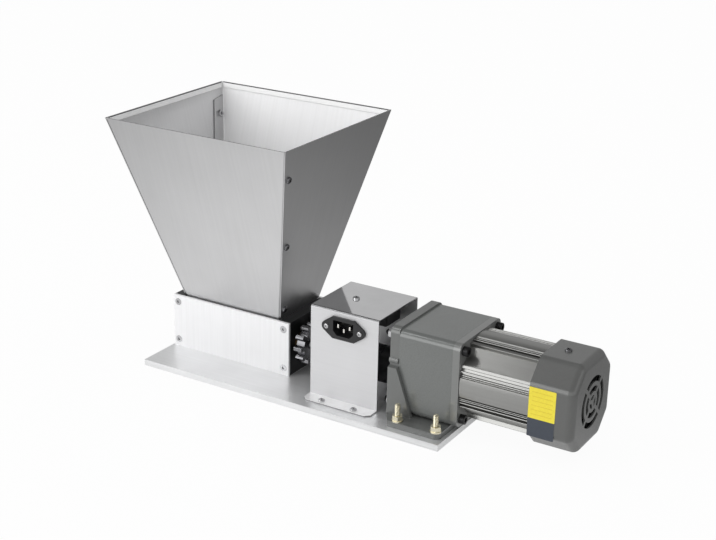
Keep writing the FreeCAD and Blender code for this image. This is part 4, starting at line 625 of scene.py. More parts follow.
@dataclass(frozen=True)
class ScrewShape:
    """A round screw drawn as a stack of loops along its own axis.

    Attributes:
        radius: shank radius.
        head: head radius.
        rise: height of the head over its seat, or 0 for a countersunk head.
        length: shank length below the seat.
        recess: the drive recess.
        reach: radius of the recess.
        pitch: thread pitch, or 0 for a plain shank.
        threaded: length of thread at the far end.
        crown: share of the head's height that is rounded over.
        columns: number of points in each loop.
    """

    radius: float
    head: float
    rise: float
    length: float
    recess: Recess
    reach: float
    pitch: float = 0.0
    threaded: float = 0.0
    crown: float = 0.55
    columns: int = 24

    SMOOTH_DEGREES = 40.0
    ARM_WIDTH = 0.27
    RECESS_OF_RISE = 0.55
    RECESS_OF_RADIUS = 0.7
    RECESS_TAPER = 0.9
    DOME_START = 0.35
    DOME_LOOPS = 6
    SUNK_RIM = 0.12
    LOOPS_PER_PITCH = 6
    THREAD_DEPTH = 0.13
    THREAD_END = 0.25
    TIP_LENGTH = 0.2
    TIP_SHOULDER = 0.86
    TIP_END = 0.66

    def turn(self) -> np.ndarray:
        """The angle of each column."""
        return np.arange(self.columns) * 2 * math.pi / self.columns

    def recess_loop(self) -> np.ndarray:
        """Radius of the recess round the axis.

        A hexagon's radius is its apothem over the cosine of the angle from the nearest
        flat's middle. A cross's radius is the larger of its two arms' radii, each the
        smaller of the arm's end and its side.

        Returns:
            One radius for each column.
        """
        turn = self.turn()
        if self.recess is Recess.HEXAGON:
            off = (turn + math.pi / 6) % (math.pi / 3) - math.pi / 6
            return self.reach * math.cos(math.pi / 6) / np.cos(off)
        half = self.reach * self.ARM_WIDTH
        arms = []
        for start in (0.0, QUARTER):
            along = np.maximum(np.abs(np.cos(turn - start)), TINY)
            across = np.maximum(np.abs(np.sin(turn - start)), TINY)
            arms.append(np.minimum(self.reach / along, half / across))
        return np.maximum(*arms)

    def rows(self) -> tuple[np.ndarray, np.ndarray]:
        """Heights and radii of the loops, from the recess's floor to the tip.

        A domed head follows a quarter ellipse from its flat top to its rim. A thread's
        radius falls by the thread's depth times a triangle wave of height over pitch
        less the angle as a share of a turn.

        Returns:
            Heights of shape (rows, 1) and radii of shape (rows, columns).
        """
        ones = np.ones(self.columns)
        recess = self.recess_loop()
        depth = max(self.rise * self.RECESS_OF_RISE, self.radius * self.RECESS_OF_RADIUS)
        levels = [self.rise - depth, self.rise]
        radii = [recess * self.RECESS_TAPER, recess]
        if self.rise > 0:
            arc = np.linspace(self.DOME_START * self.crown, QUARTER, self.DOME_LOOPS)
            levels += list(self.rise * (1 - self.crown * (1 - np.cos(arc))))
            radii += [ones * value for value in self.head * (1 - self.crown * (1 - np.sin(arc)))]
            levels += [0.0, 0.0]
            radii += [ones * self.head, ones * self.radius]
        else:
            levels += [0.0, -self.SUNK_RIM * self.radius, -(self.head - self.radius)]
            radii += [ones * self.head, ones * self.head, ones * self.radius]
        start = -(self.length - self.threaded)
        if self.pitch > 0 and self.threaded > 0:
            steps = int(round(self.threaded / self.pitch * self.LOOPS_PER_PITCH))
            down = np.linspace(0.0, self.threaded - self.radius * self.THREAD_END, steps)
            share = self.turn() / (2 * math.pi)
            wave = np.abs(((down[:, None] / self.pitch - share[None, :]) % 1.0) * 2 - 1)
            fade = np.minimum(1.0, down / self.pitch)[:, None]
            levels += list(start - down)
            radii += list(self.radius * (1 - self.THREAD_DEPTH * wave * fade))
        levels += [-self.length + self.radius * self.TIP_LENGTH, -self.length]
        radii += [ones * self.radius * self.TIP_SHOULDER, ones * self.radius * self.TIP_END]
        return np.array(levels)[:, None], np.array(radii)

    def object(self, name: str, seat: Vector, axis: Vector) -> bpy.types.Object:
        """The screw with its seat at a point and its head towards an axis.

        Point = seat + axis * height + (u cos turn + v sin turn) * radius, where u and v
        are square to the axis.

        Args:
            name: the object's name.
            seat: where the head sits.
            axis: the way the head looks.

        Returns:
            The new object.
        """
        way = np.array(axis.normalized())
        first = np.array(axis.normalized().orthogonal().normalized())
        second = np.cross(way, first)
        heights, radii = self.rows()
        turn = self.turn()
        round_part = np.cos(turn)[None, :, None] * first + np.sin(turn)[None, :, None] * second
        points = np.array(seat) + heights[:, :, None] * way + radii[:, :, None] * round_part
        return Surface.tube(name, points, self.SMOOTH_DEGREES)


class FastenerSet:
    """Screws drawn over the solids of one CAD node."""

    @staticmethod
    def solids(node: str) -> list[np.ndarray]:
        """The points of each separate solid of a CAD node.

        Args:
            node: the node's name.

        Returns:
            One array of points for each solid, ordered by place.
        """
        work = bmesh.new()
        work.from_mesh(frame["nodes"][node].data)
        bmesh.ops.remove_doubles(work, verts=work.verts, dist=WELD)
        work.verts.ensure_lookup_table()
        left = set(range(len(work.verts)))
        found = []
        while left:
            wave = [work.verts[left.pop()]]
            seen = list(wave)
            while wave:
                point = wave.pop()
                for edge in point.link_edges:
                    other = edge.other_vert(point)
                    if other.index in left:
                        left.discard(other.index)
                        wave.append(other)
                        seen.append(other)
            found.append(np.array([v.co for v in seen]))
        work.free()
        return sorted(found, key=lambda cloud: tuple(np.round(cloud.mean(axis=0), 4)))

    @classmethod
    def dress(cls, node: str, fit: Callable[[np.ndarray], tuple[ScrewShape, Vector]], finish: Finish) -> None:
        """Draw a screw over each solid of a node.

        The seat lies under the head's top by the head's rise, on the line through the
        middle of the solid.

        Args:
            node: the CAD node.
            fit: gives a screw's shape and the way its head looks from its solid's points.
            finish: the screws' finish.
        """
        pieces = []
        for number, cloud in enumerate(cls.solids(node)):
            shape, axis = fit(cloud)
            axis = axis.normalized()
            way = np.array(axis)
            along = cloud @ way
            flat = cloud - along[:, None] * way
            middle = (flat.min(axis=0) + flat.max(axis=0)) / 2
            middle = middle - (middle @ way) * way
            seat = middle + way * (along.max() - shape.rise)
            pieces.append(shape.object(f"{node}_{number}", Vector(seat), axis))
        Dresser.piece(Surface.joined(node + "_dressed", pieces, ScrewShape.SMOOTH_DEGREES), finish, node)


@dataclass(frozen=True)
class ScrewSet:
    """Equal screws over the solids of one CAD node.

    Attributes:
        finish: their finish.
        shape: their shape.
        node: the node's name.
        head: the way their heads look.
        middle: a point from which they look away both ways, if they do.
    """

    finish: Finish
    shape: ScrewShape
    node: str
    head: Vector
    middle: Optional[tuple[float, float, float]] = None

    def fit(self, cloud: np.ndarray) -> tuple[ScrewShape, Vector]:
        """A screw's shape and the way its head looks.

        Args:
            cloud: points of the screw's solid.

        Returns:
            Its shape and direction.
        """
        if self.middle is None or (cloud.mean(axis=0) - self.middle) @ np.array(self.head) > 0:
            return self.shape, self.head
        return self.shape, -self.head

    def build(self) -> None:
        """Draw the screws."""
        FastenerSet.dress(self.node, self.fit, self.finish)


Dressing = Union[Trim, ScrewSet]


class SubAssembly:
    """What the sub-assemblies share.

    Attributes:
        dressings: the pieces that need only a finish and broken edges, and the screws.
    """

    dressings: tuple[Dressing, ...] = ()

    def build(self) -> None:
        """Dress the pieces one after the other."""
        for dressing in self.dressings:
            dressing.build()


@dataclass
class BasePlate(SubAssembly):
    """The flat base plate and the screws that come up through it.

    Attributes:
        dressings: the plate and the mill's foot screws.
    """

    dressings: tuple[Dressing, ...] = (
        Trim(Finishes.BASE, 0.5 * MM, "base_plate"),
        ScrewSet(Finishes.SCREW, ScrewShape(2.5 * MM, 5.0 * MM, 0.0, 15.6 * MM, Recess.HEXAGON, 1.9 * MM),
                 "mill_foot_screws", DOWN),
    )


@dataclass
class MillBody(SubAssembly):
    """Cheek plates, end plates, rollers, gears and the gap adjuster.

    Attributes:
        dressings: plates, blocks and their screws, rollers, gears, bushes and knurled screws.
    """

    dressings: tuple[Dressing, ...] = (
        Trim(Finishes.CHEEK, 0.4 * MM, "mill_front_plate mill_rear_plate"),
        # Painted shade: the end plates and bearing blocks get the near-black steel.
        Trim(Finishes.END_PLATE_SHADE, 0.4 * MM,
             "mill_left_plate mill_right_plate left_bearing_block right_bearing_block"),
        ScrewSet(Finishes.SCREW, ScrewShape(2.0 * MM, 4.0 * MM, 0.0, 14.0 * MM, Recess.HEXAGON, 1.9 * MM),
                 "mill_plate_screws", REARWARD, (0.0, 20.0 * MM, 0.0)),
        Trim(Finishes.ROLLER, 0.0, "drive_roller idler_roller"),
        # Painted shade: the gears get the darkened steel.
        Trim(Finishes.GEAR, 0.35 * MM, "drive_gear idler_gear"),
        # Painted shade: the bronze bushes are darkened.
        Trim(Finishes.BRONZE_SHADE, 0.3 * MM, "drive_bushes idler_bushes"),
        Trim(Finishes.SCREW, 0.15 * MM, "left_gap_screw right_gap_screw"),
    )


@dataclass
class Hopper(SubAssembly):
    """Four folded sheets with hemmed rims and screwed corners.

    Attributes:
        dressings: the nuts.
        centre: X and Y of the hopper's middle.
        sheet: sheet thickness.
        bend: inside radius of the folds.
        throat: half length and half width at the throat, outside.
        rim: half length and half width at the rim, outside.
        skirt: heights of the skirt's lower edge and of the throat.
        skirt_inset: how much narrower the side sheets' skirts are at each end.
        top: height of the rim.
        flange: width of the corner flanges.
        drop: how far under the rim a flange begins at its corner.
        slant: how much lower it begins at its free edge.
        lift: how far above the throat the flanges end.
        hem: height of the folded-in rim.
        gap: play between a side sheet and the sheets beside it.
        screw: the corner screws.
        skirt_screw: the screws through the skirts.
    """

    dressings: tuple[Dressing, ...] = (Trim(Finishes.SCREW, 0.2 * MM, "hopper_nuts"),)
    centre: tuple[float, float] = (-106.25 * MM, 20.0 * MM)
    sheet: float = 1.2 * MM
    bend: float = 1.0 * MM
    throat: tuple[float, float] = (64.55 * MM, 38.1 * MM)
    rim: tuple[float, float] = (114.5 * MM, 103.5 * MM)
    skirt: tuple[float, float] = (61.5 * MM, 68.5 * MM)
    skirt_inset: float = 3.0 * MM
    top: float = 279.5 * MM
    flange: float = 18.5 * MM
    drop: float = 14.0 * MM
    slant: float = 3.0 * MM
    lift: float = 3.0 * MM
    hem: float = 6.0 * MM
    gap: float = 0.3 * MM
    screw: ScrewShape = ScrewShape(2.0 * MM, 3.7 * MM, 2.4 * MM, 5.2 * MM, Recess.CROSS, 2.2 * MM)
    skirt_screw: ScrewShape = ScrewShape(2.0 * MM, 3.7 * MM, 2.4 * MM, 8.0 * MM, Recess.CROSS, 2.2 * MM)

    SMOOTH_DEGREES = 30.0
    HEM_SMOOTH_DEGREES = 40.0
    ARC_POINTS = 7
    WALL_POINTS = 5
    HEM_POINTS = 9
    WALL_LEVELS = 12
    SLANT_LEVELS = 5
    RIM_LEVELS = 4
    FLANGE_LEVELS = slice(4, -5)
    MITRE_GAP = 1.2

    def half(self, level: Coordinates, side: int) -> Coordinates:
        """Half length (side 0) or half width (side 1) at a level, growing evenly to the rim."""
        share = np.clip((level - self.skirt[1]) / (self.top - self.skirt[1]), 0.0, 1.0)
        return self.throat[side] + share * (self.rim[side] - self.throat[side])

    def slope(self, side: int) -> float:
        """Outward run of a wall for each unit of height."""
        return (self.rim[side] - self.throat[side]) / (self.top - self.skirt[1])

    def levels(self) -> np.ndarray:
        """Heights of the loops, closer together where the flanges begin and end.

        Returns:
            The heights, upwards.
        """
        low = self.skirt[1] + self.lift
        high = self.top - self.drop
        skirt_bend = 0.4 * MM
        flange_step = 0.1 * MM
        above_flange = 0.6 * MM
        return np.concatenate([[self.skirt[0], self.skirt[1] - skirt_bend, self.skirt[1], low - flange_step],
                               np.linspace(low + flange_step, high - self.slant, self.WALL_LEVELS),
                               np.linspace(high - 0.8 * self.slant, high, self.SLANT_LEVELS),
                               np.linspace(high + above_flange, self.top, self.RIM_LEVELS)])

    def flange_depth(self, level: float) -> float:
        """Width of a corner flange at a level, shrinking evenly over the slant at its top.

        Args:
            level: the height.

        Returns:
            The width, or 0 where there is no flange.
        """
        if level < self.skirt[1] + self.lift:
            return 0.0
        return self.flange * min(1.0, max(0.0, (self.top - self.drop - level) / self.slant))

    def outline(self, across: np.ndarray, fold: Sequence[np.ndarray]) -> np.ndarray:
        """Half of a sheet's closed outline: along the wall, round its end and back inside.

        Args:
            across: places along the wall, from its middle outwards.
            fold: the pieces of the outline round the end.

        Returns:
            Points of shape (n, 2): across and inwards.
        """
        front = np.stack([across, np.zeros_like(across)], axis=1)
        back = np.stack([across[::-1], np.full_like(across, self.sheet)], axis=1)
        return np.concatenate([front, *fold, back])

    def plain_section(self, width: float) -> np.ndarray:
        """Half of a flat sheet's closed outline, with as many points as a folded one.

        The sheet simply ends at the width, with a small quarter round on its outer corner.
        The points that a fold would need lie close together on its end and inner face.

        Args:
            width: half width of the wall.

        Returns:
            Points of shape (n, 2), from the middle outside to the middle inside.
        """
        outer = self.sheet
        radius = 0.5 * outer
        turn = np.linspace(0.0, QUARTER, self.ARC_POINTS)
        corner = np.stack([width - radius + radius * np.sin(turn), radius * (1 - np.cos(turn))], axis=1)
        inner = np.stack([width - radius * np.sin(turn) * 0.5, 0.98 * outer + 0.02 * outer * np.sin(turn)],
                         axis=1)
        ends = np.array([[width, 0.9 * outer], [width, 0.95 * outer]])
        across = np.linspace(0.0, width - radius, self.WALL_POINTS)[:-1]
        return self.outline(across, (corner, ends, inner))

    def folded_section(self, width: float, flange: float) -> np.ndarray:
        """Half of a folded sheet's closed outline at one level, across and inwards.

        The outer line runs along the wall, round a quarter circle of the outer radius
        and along the flange. The inner line comes back at one sheet thickness. Across is
        measured along the wall from its middle, inwards is the depth behind its face.

        Args:
            width: half width of the wall, from which the flange lies in by a sheet.
            flange: depth of the flange from the wall's face.

        Returns:
            Points of shape (n, 2), from the middle outside to the middle inside.
        """
        outer = self.bend + self.sheet
        reach = width - self.sheet
        depth = max(flange, outer + 0.05 * MM)
        turn = np.linspace(0.0, QUARTER, self.ARC_POINTS)
        corner = np.stack([reach - outer + outer * np.sin(turn), outer - outer * np.cos(turn)], axis=1)
        inner = np.stack([reach - outer + self.bend * np.sin(turn), outer - self.bend * np.cos(turn)], axis=1)
        ends = np.array([[reach, depth], [reach - self.sheet, depth]])
        across = np.linspace(0.0, reach - outer, self.WALL_POINTS)[:-1]
        return self.outline(across, (corner, ends, inner[::-1]))

    def end_sheet(self, name: str, way: int) -> bpy.types.Object:
        """The front or rear sheet, with a flange along each side but the rear right one.

        Point = (across, way * (half width - inwards), level), with the section made anew
        at each level and mirrored to the other side.

        Args:
            name: the object's name.
            way: -1 for the front sheet, 1 for the rear one.

        Returns:
            The new object.
        """
        rows = []
        for level in self.levels():
            width = self.half(level, 0)
            depth = self.half(level, 1)
            half = self.folded_section(width, self.flange_depth(level))
            right = self.plain_section(width) if way > 0 else half
            loop = np.concatenate([right, half[::-1] * [-1.0, 1.0]])
            rows.append(Surface.loop(self.centre[0] + loop[:, 0], self.centre[1] + way * (depth - loop[:, 1]),
                                     level))
        return Surface.tube(name, np.array(rows), self.SMOOTH_DEGREES)

    def side_sheet(self, name: str, way: int) -> bpy.types.Object:
        """The left or right flat sheet, which lies over the flanges.

        Each level is a flat rectangle one sheet thick whose ends are rounded over.

        Args:
            name: the object's name.
            way: -1 for the left sheet, 1 for the right one.

        Returns:
            The new object.
        """
        rows = []
        radius = self.sheet / 2
        for level in self.levels():
            depth = self.half(level, 0)
            width = self.half(level, 1) - self.gap
            if level <= self.skirt[1]:
                width -= self.skirt_inset
            turn = np.linspace(0.0, math.pi, self.ARC_POINTS)
            end = np.stack([width - radius + radius * np.sin(turn), radius - radius * np.cos(turn)], axis=1)
            middle = np.linspace(-0.8, 0.8, self.WALL_POINTS)[:, None] * width
            front = np.concatenate([middle, np.zeros_like(middle)], axis=1)
            back = np.concatenate([middle[::-1], np.full_like(middle, self.sheet)], axis=1)
            loop = np.concatenate([front, end, back, end[::-1] * [-1.0, 1.0]])
            rows.append(Surface.loop(self.centre[0] + way * (depth - loop[:, 1]), self.centre[1] + loop[:, 0],
                                     level))
        return Surface.tube(name, np.array(rows), self.SMOOTH_DEGREES)

    def rear_right_flange(self, name: str) -> bpy.types.Object:
        """The right sheet's flange, which lies behind the rear sheet.

        At each level it is a flat strip one sheet thick inside the rear wall, from the
        right sheet's inner face inwards.

        Args:
            name: the object's name.

        Returns:
            The new object.
        """
        rows = []
        for level in self.levels()[self.FLANGE_LEVELS]:
            outer = self.half(level, 0) - 0.6 * self.sheet
            inner = outer - self.flange_depth(level)
            wall = self.half(level, 1) - 1.05 * self.sheet
            back = wall - self.sheet
            loop = np.array([[outer, wall], [inner, wall], [inner, back], [outer, back]])
            rows.append(Surface.loop(self.centre[0] + loop[:, 0], self.centre[1] + loop[:, 1], level))
        return Surface.tube(name, np.array(rows), self.SMOOTH_DEGREES)

    def hem_strip(self, name: str, side: int, way: int) -> bpy.types.Object:
        """The folded-in rim of one sheet.

        Its section is a flat band one sheet thick behind the wall that turns over a half
        circle at the top, carried along the wall with mitred ends.

        Args:
            name: the object's name.
            side: 0 for the left and right walls, 1 for the front and rear walls.
            way: -1 or 1.

        Returns:
            The new object.
        """
        turn = np.linspace(0.0, math.pi, self.HEM_POINTS)
        fold = self.sheet
        arc = np.stack([fold - fold * np.cos(turn), self.top - fold + fold * np.sin(turn)], axis=1)
        low = self.top - self.hem
        outline = np.concatenate([[[0.5 * fold, low]], [[0.5 * fold, self.top - 2 * fold]], arc[2:],
                                  [[2.0 * fold, low + 0.3 * fold], [1.7 * fold, low]]])
        rows = []
        for share in np.linspace(-1.0, 1.0, self.HEM_POINTS):
            depth = outline[:, 0] + self.slope(side) * (self.top - outline[:, 1])
            other = self.half(outline[:, 1], 1 - side) - outline[:, 0] - self.MITRE_GAP * self.sheet
            wall = way * (self.rim[side] - depth)
            along = share * other
            x, y = (wall, along) if side == 0 else (along, wall)
            rows.append(Surface.loop(self.centre[0] + x, self.centre[1] + y, outline[:, 1]))
        return Surface.tube(name, np.array(rows), self.HEM_SMOOTH_DEGREES)

    def dress_sheet(self, node: str, side: int, way: int) -> None:
        """Draw one sheet with its rim and finish it: its outside plainly, painted light on the inside and the
        rim, painted shade on the flanges and edges.

        Args:
            node: the sheet's CAD node.
            side: 0 for the left and right sheets, 1 for the front and rear sheets.
            way: -1 or 1.
        """
        parts = [self.end_sheet(node + "_sheet", way) if side else self.side_sheet(node + "_sheet", way)]
        if node == "hopper_right":
            parts.append(self.rear_right_flange(node + "_flange"))
        parts.append(self.hem_strip(node + "_hem", side, way))
        hem_start = sum(len(part.data.polygons) for part in parts[:-1])
        finish = Finishes.HOPPER if side else Finishes.HOPPER_SIDE
        piece = Dresser.piece(Surface.joined(node + "_dressed", parts, self.SMOOTH_DEGREES), finish, node)
        if side:
            # Painted light: the inner faces of the front and rear sheets are painted lighter.
            Dresser.second_finish(piece, Finishes.HOPPER_INSIDE_LIT, self.in_end_sheet)
            # Painted shade: the corner flanges are painted darker.
            Dresser.second_finish(piece, Finishes.HOPPER_FLANGE_SHADE, lambda face: abs(face.normal.x) > 0.9)
        # Painted light: the folded-in rim is painted lighter than its sheet.
        Dresser.second_finish(piece, Finishes.HEM_PAINTED_LIGHT, lambda face: face.index >= hem_start)
        # Painted shade: the rim's upper edge and the flanges' free edges are painted dark.
        Dresser.second_finish(piece, Finishes.HOPPER_EDGE_SHADE, self.on_edge)

    def in_end_sheet(self, face: bpy.types.MeshPolygon) -> bool:
        """Whether a face is the inner side of the front or rear sheet."""
        return abs(face.normal.y) > 0.5 and face.normal.y * (face.center.y - self.centre[1]) < 0

    def on_edge(self, face: bpy.types.MeshPolygon) -> bool:
        """Whether a face is part of the rim's upper edge or of a flange's free edge.

        Args:
            face: the face.

        Returns:
            True where it faces up at the rim, or lies well behind the wall.
        """
        if face.normal.z > 0.6 and face.center.z > self.top - 0.5 * self.sheet:
            return True
        inwards = self.half(face.center.z, 1) - abs(face.center.y - self.centre[1])
        return abs(face.normal.y) > 0.5 and inwards > 5.0 * self.sheet

    def screw_fit(self, cloud: np.ndarray) -> tuple[ScrewShape, Vector]:
        """A hopper screw and the way its head looks: out of the walls, or in at the skirts.

        Args:
            cloud: points of the screw's solid.

        Returns:
            Its shape and direction.
        """
        middle = cloud.mean(axis=0)
        way = 1.0 if middle[0] > self.centre[0] else -1.0
        if middle[2] < self.skirt[1] + 2 * MM:
            return self.skirt_screw, Vector((-way, 0, 0))
        if way > 0 and middle[1] > self.centre[1]:
            return self.screw, Vector((0, 1, -self.slope(1)))
        return self.screw, Vector((way, 0, -self.slope(0)))

    def build(self) -> None:
        """Dress the sheets, their screws and their nuts."""
        for node, side, way in (("hopper_front", 1, -1), ("hopper_rear", 1, 1), ("hopper_left", 0, -1),
                                ("hopper_right", 0, 1)):
            self.dress_sheet(node, side, way)
        # Painted shade: the hopper's screws get the darkened steel.
        FastenerSet.dress("hopper_screws", self.screw_fit, Finishes.GEAR)
        super().build()


@dataclass
class CouplingCover(SubAssembly):
    """The bent cover, its screws, the mains inlet and the capacitor under it.

    Attributes:
        dressings: the cover's screws, the inlet with its pins, screws and nuts, and the capacitor.
        cover_edge: width of the cover's broken edges.
        foot_below: height under which a level face belongs to a foot.
        foot_edge_below: height under which an upright face is a foot's cut edge.
    """

    dressings: tuple[Dressing, ...] = (
        ScrewSet(Finishes.SCREW, ScrewShape(2.0 * MM, 3.7 * MM, 2.4 * MM, 8.0 * MM, Recess.CROSS, 2.2 * MM),
                 "cover_screws", UP),
        Trim(Finishes.INLET, 0.4 * MM, "inlet_body"),
        Trim(Finishes.PIN, 0.35 * MM, "inlet_pins"),
        ScrewSet(Finishes.SCREW, ScrewShape(1.5 * MM, 2.8 * MM, 1.68 * MM, 8.0 * MM, Recess.CROSS, 1.6 * MM),
                 "inlet_screws", FORWARD),
        Trim(Finishes.SCREW, 0.2 * MM, "inlet_nuts"),
        Trim(Finishes.CAPACITOR, 0.3 * MM, "capacitor"),
    )
    cover_edge: float = 0.12 * MM
    foot_below: float = 20.0 * MM
    foot_edge_below: float = 8.1 * MM

    SIDEWAYS = 0.1
    UPRIGHT = 0.95

    def on_wall(self, face: bpy.types.MeshPolygon) -> bool:
        """Whether a face is part of the front or rear wall."""
        return abs(face.normal.y) > self.UPRIGHT

    def on_bend_or_foot_edge(self, face: bpy.types.MeshPolygon) -> bool:
        """Whether a face is part of a bend or of the cut edge round a foot.

        Args:
            face: the face.

        Returns:
            True where it leans to the front or rear, or stands upright at a foot.
        """
        if self.SIDEWAYS < abs(face.normal.y) <= self.UPRIGHT:
            return True
        return abs(face.normal.z) < 0.5 and face.center.z < self.foot_edge_below

    def on_foot(self, face: bpy.types.MeshPolygon) -> bool:
        """Whether a face is the top of a foot."""
        return face.normal.z > 0.9 and face.center.z < self.foot_below

    def build(self) -> None:
        """Dress the cover and what is fixed to it, with painted shade on its bends and painted light on its
        feet.
        """
        cover = Dresser.refined("coupling_cover", Finishes.COVER, self.cover_edge)
        Dresser.second_finish(cover, Finishes.COVER_WALL, self.on_wall)
        # Painted shade: the bends and the feet's cut edges are painted dark.
        Dresser.second_finish(cover, Finishes.COVER_BEND_SHADE, self.on_bend_or_foot_edge)
        # Painted light: the tops of the feet are painted lighter.
        Dresser.second_finish(cover, Finishes.COVER_FOOT_LIT, self.on_foot)
        super().build()


@dataclass
class Coupling(SubAssembly):
    """The jaw coupling between the mill and the gear case.

    Attributes:
        dressings: hubs, spider and set screws.
    """

    dressings: tuple[Dressing, ...] = (
        # Painted shade: the hubs and the spider are painted nearly black.
        Trim(Finishes.COUPLING, 0.4 * MM, "mill_coupling_hub motor_coupling_hub"),
        Trim(Finishes.SPIDER, 0.3 * MM, "coupling_spider"),
        Trim(Finishes.BLACK, 0.15 * MM, "coupling_set_screws"),
    )


@dataclass
class MotorBracket(SubAssembly):
    """The cast bracket with its studs, washers and nuts.

    Attributes:
        dressings: the casting, and the studs with their washers and nuts.
    """

    dressings: tuple[Dressing, ...] = (
        Trim(Finishes.BRACKET, 1.0 * MM, "motor_bracket"),
        ScrewSet(Finishes.ZINC, ScrewShape(3.0 * MM, 6.0 * MM, 0.0, 32.5 * MM, Recess.HEXAGON, 2.3 * MM,
                                           pitch=1.0 * MM, threaded=21.0 * MM), "foot_bolts", DOWN),
        Trim(Finishes.ZINC, 0.2 * MM, "foot_washers"),
        Trim(Finishes.ZINC, 0.3 * MM, "foot_nuts"),
    )


@dataclass
class GearCase(SubAssembly):
    """The gear case with everything that turns inside it.

    Attributes:
        dressings: the castings with their through bolts, the shafts, gears and bearings.
    """

    dressings: tuple[Dressing, ...] = (
        Trim(Finishes.CASE, 0.8 * MM, "gear_case"),
        Trim(Finishes.FLANGE, 0.5 * MM, "motor_flange"),
        ScrewSet(Finishes.BLACK, ScrewShape(3.0 * MM, 5.0 * MM, 6.0 * MM, 87.4 * MM, Recess.HEXAGON, 2.9 * MM,
                                            pitch=1.0 * MM, threaded=12.0 * MM, crown=0.12),
                 "through_bolts", TO_MOTOR),
        Trim(Finishes.SCREW, 0.3 * MM, "through_nuts"),
        Trim(Finishes.CASE, 0.3 * MM, "gear_partition"),
        Trim(Finishes.SHAFT, 0.1 * MM, "output_shaft output_gear layshaft layshaft_gear"),
        Trim(Finishes.BEARING, 0.4 * MM, "output_bearings layshaft_bearings motor_bearings"),
    )


@dataclass
class MotorBody:
    """The extruded motor body with its ribs.

    Attributes:
        ends: X of the body's two ends.
        bore: radius of the round bore.
        band: radius and half angle in degrees of the smooth band on each side.
        groove: radius between the ribs.
        ribs: start and end in degrees from the side's middle, and radius, of each rib.
        flat: distance of the flats at 45 degrees from the axis.
        flank: degrees that a rib's flank takes up.
        crown: how far a rib's top falls off towards its flanks.
        break_edge: width of the bevel at the body's ends.
    """

    ends: tuple[float, float] = (189.8 * MM, 266.3 * MM)
    bore: float = 37.5 * MM
    band: tuple[float, float] = (44.8 * MM, 14.0)
    groove: float = 42.8 * MM
    ribs: tuple[tuple[float, float, float], ...] = (
        (15.0, 16.4, 45.4 * MM), (17.6, 19.0, 45.4 * MM), (20.6, 23.0, 46.2 * MM), (26.2, 30.8, 47.0 * MM))
    flat: float = 41.6 * MM
    flank: float = 0.35
    crown: float = 0.3 * MM
    break_edge: float = 0.4 * MM

    SMOOTH_DEGREES = 28.0
    STEP_DEGREES = 3.0

    def radius(self, degrees: np.ndarray) -> np.ndarray:
        """Radius of the outline round the axis.

        Within each quarter the angle is measured from the nearest side's middle. Near it
        lies the smooth band. Past it, narrow ribs and one wide rail stand on the groove
        radius, each a trapezium with steep flanks and a slightly rounded top. The rest is
        the flat, where the radius is its distance over the cosine of the angle from 45.

        Args:
            degrees: angles from +Y.

        Returns:
            One radius for each angle.
        """
        off = np.abs((degrees + 45.0) % 90.0 - 45.0)
        outline = np.full_like(off, self.groove)
        for low, high, radius in (*self.ribs, (-self.band[1], self.band[1], self.band[0])):
            depth = (high - low) / 2 - np.abs(off - (low + high) / 2)
            rise = np.clip(depth / self.flank, 0.0, 1.0)
            crown = self.crown * np.clip(1 - (depth - self.flank) / self.flank, 0.0, 1.0)
            outline = np.maximum(outline, self.groove + rise * (radius - crown - self.groove))
        flat = self.flat / np.cos(np.radians(45.0 - off))
        return np.where(off > self.ribs[-1][1], np.minimum(outline, flat), outline)

    def outline_angles(self) -> np.ndarray:
        """Angles of the outline's points, close together at every step of the ribs.

        Returns:
            The angles in degrees, once round from +Y.
        """
        step = self.STEP_DEGREES
        edge = self.band[1]
        marks = [0.0, step, 2 * step, 3 * step, 4 * step, edge - 2 * self.flank, edge - self.flank, edge]
        for low, high, _ in self.ribs:
            marks += [low, low + self.flank, low + 2 * self.flank]
            marks += [high - 2 * self.flank, high - self.flank, high]
            marks += list(np.linspace(low + 2 * self.flank, high - 2 * self.flank, 4)[1:-1])
        fold = 45.0 - math.degrees(math.acos(self.flat / self.groove))
        marks += [fold, fold + step, fold + 2 * step, fold + 3 * step]
        quarter = np.array(sorted(marks))
        right = np.concatenate([quarter, [45.0], 90.0 - quarter[:0:-1]])
        return np.concatenate([right + 90.0 * side for side in range(4)])

    def build(self) -> None:
        """Draw the body as a ring of loops: outside, round the ends and back through the bore."""
        angles = self.outline_angles()
        turn = np.radians(angles)
        outside = self.radius(angles)
        inside = np.full_like(outside, self.bore)
        x0, x1 = self.ends
        edge = self.break_edge
        stations = [(x0, outside - edge), (x0 + edge, outside), (x1 - edge, outside), (x1, outside - edge),
                    (x1, inside + edge), (x1 - edge, inside), (x0 + edge, inside), (x0, inside + edge)]
        rows = [Surface.loop(x, radius * np.cos(turn), MOTOR_AXIS_Z + radius * np.sin(turn))
                for x, radius in stations]
        ring = Surface.ring("motor_body_dressed", np.array(rows), self.SMOOTH_DEGREES)
        Dresser.piece(ring, Finishes.BODY, "motor_body")


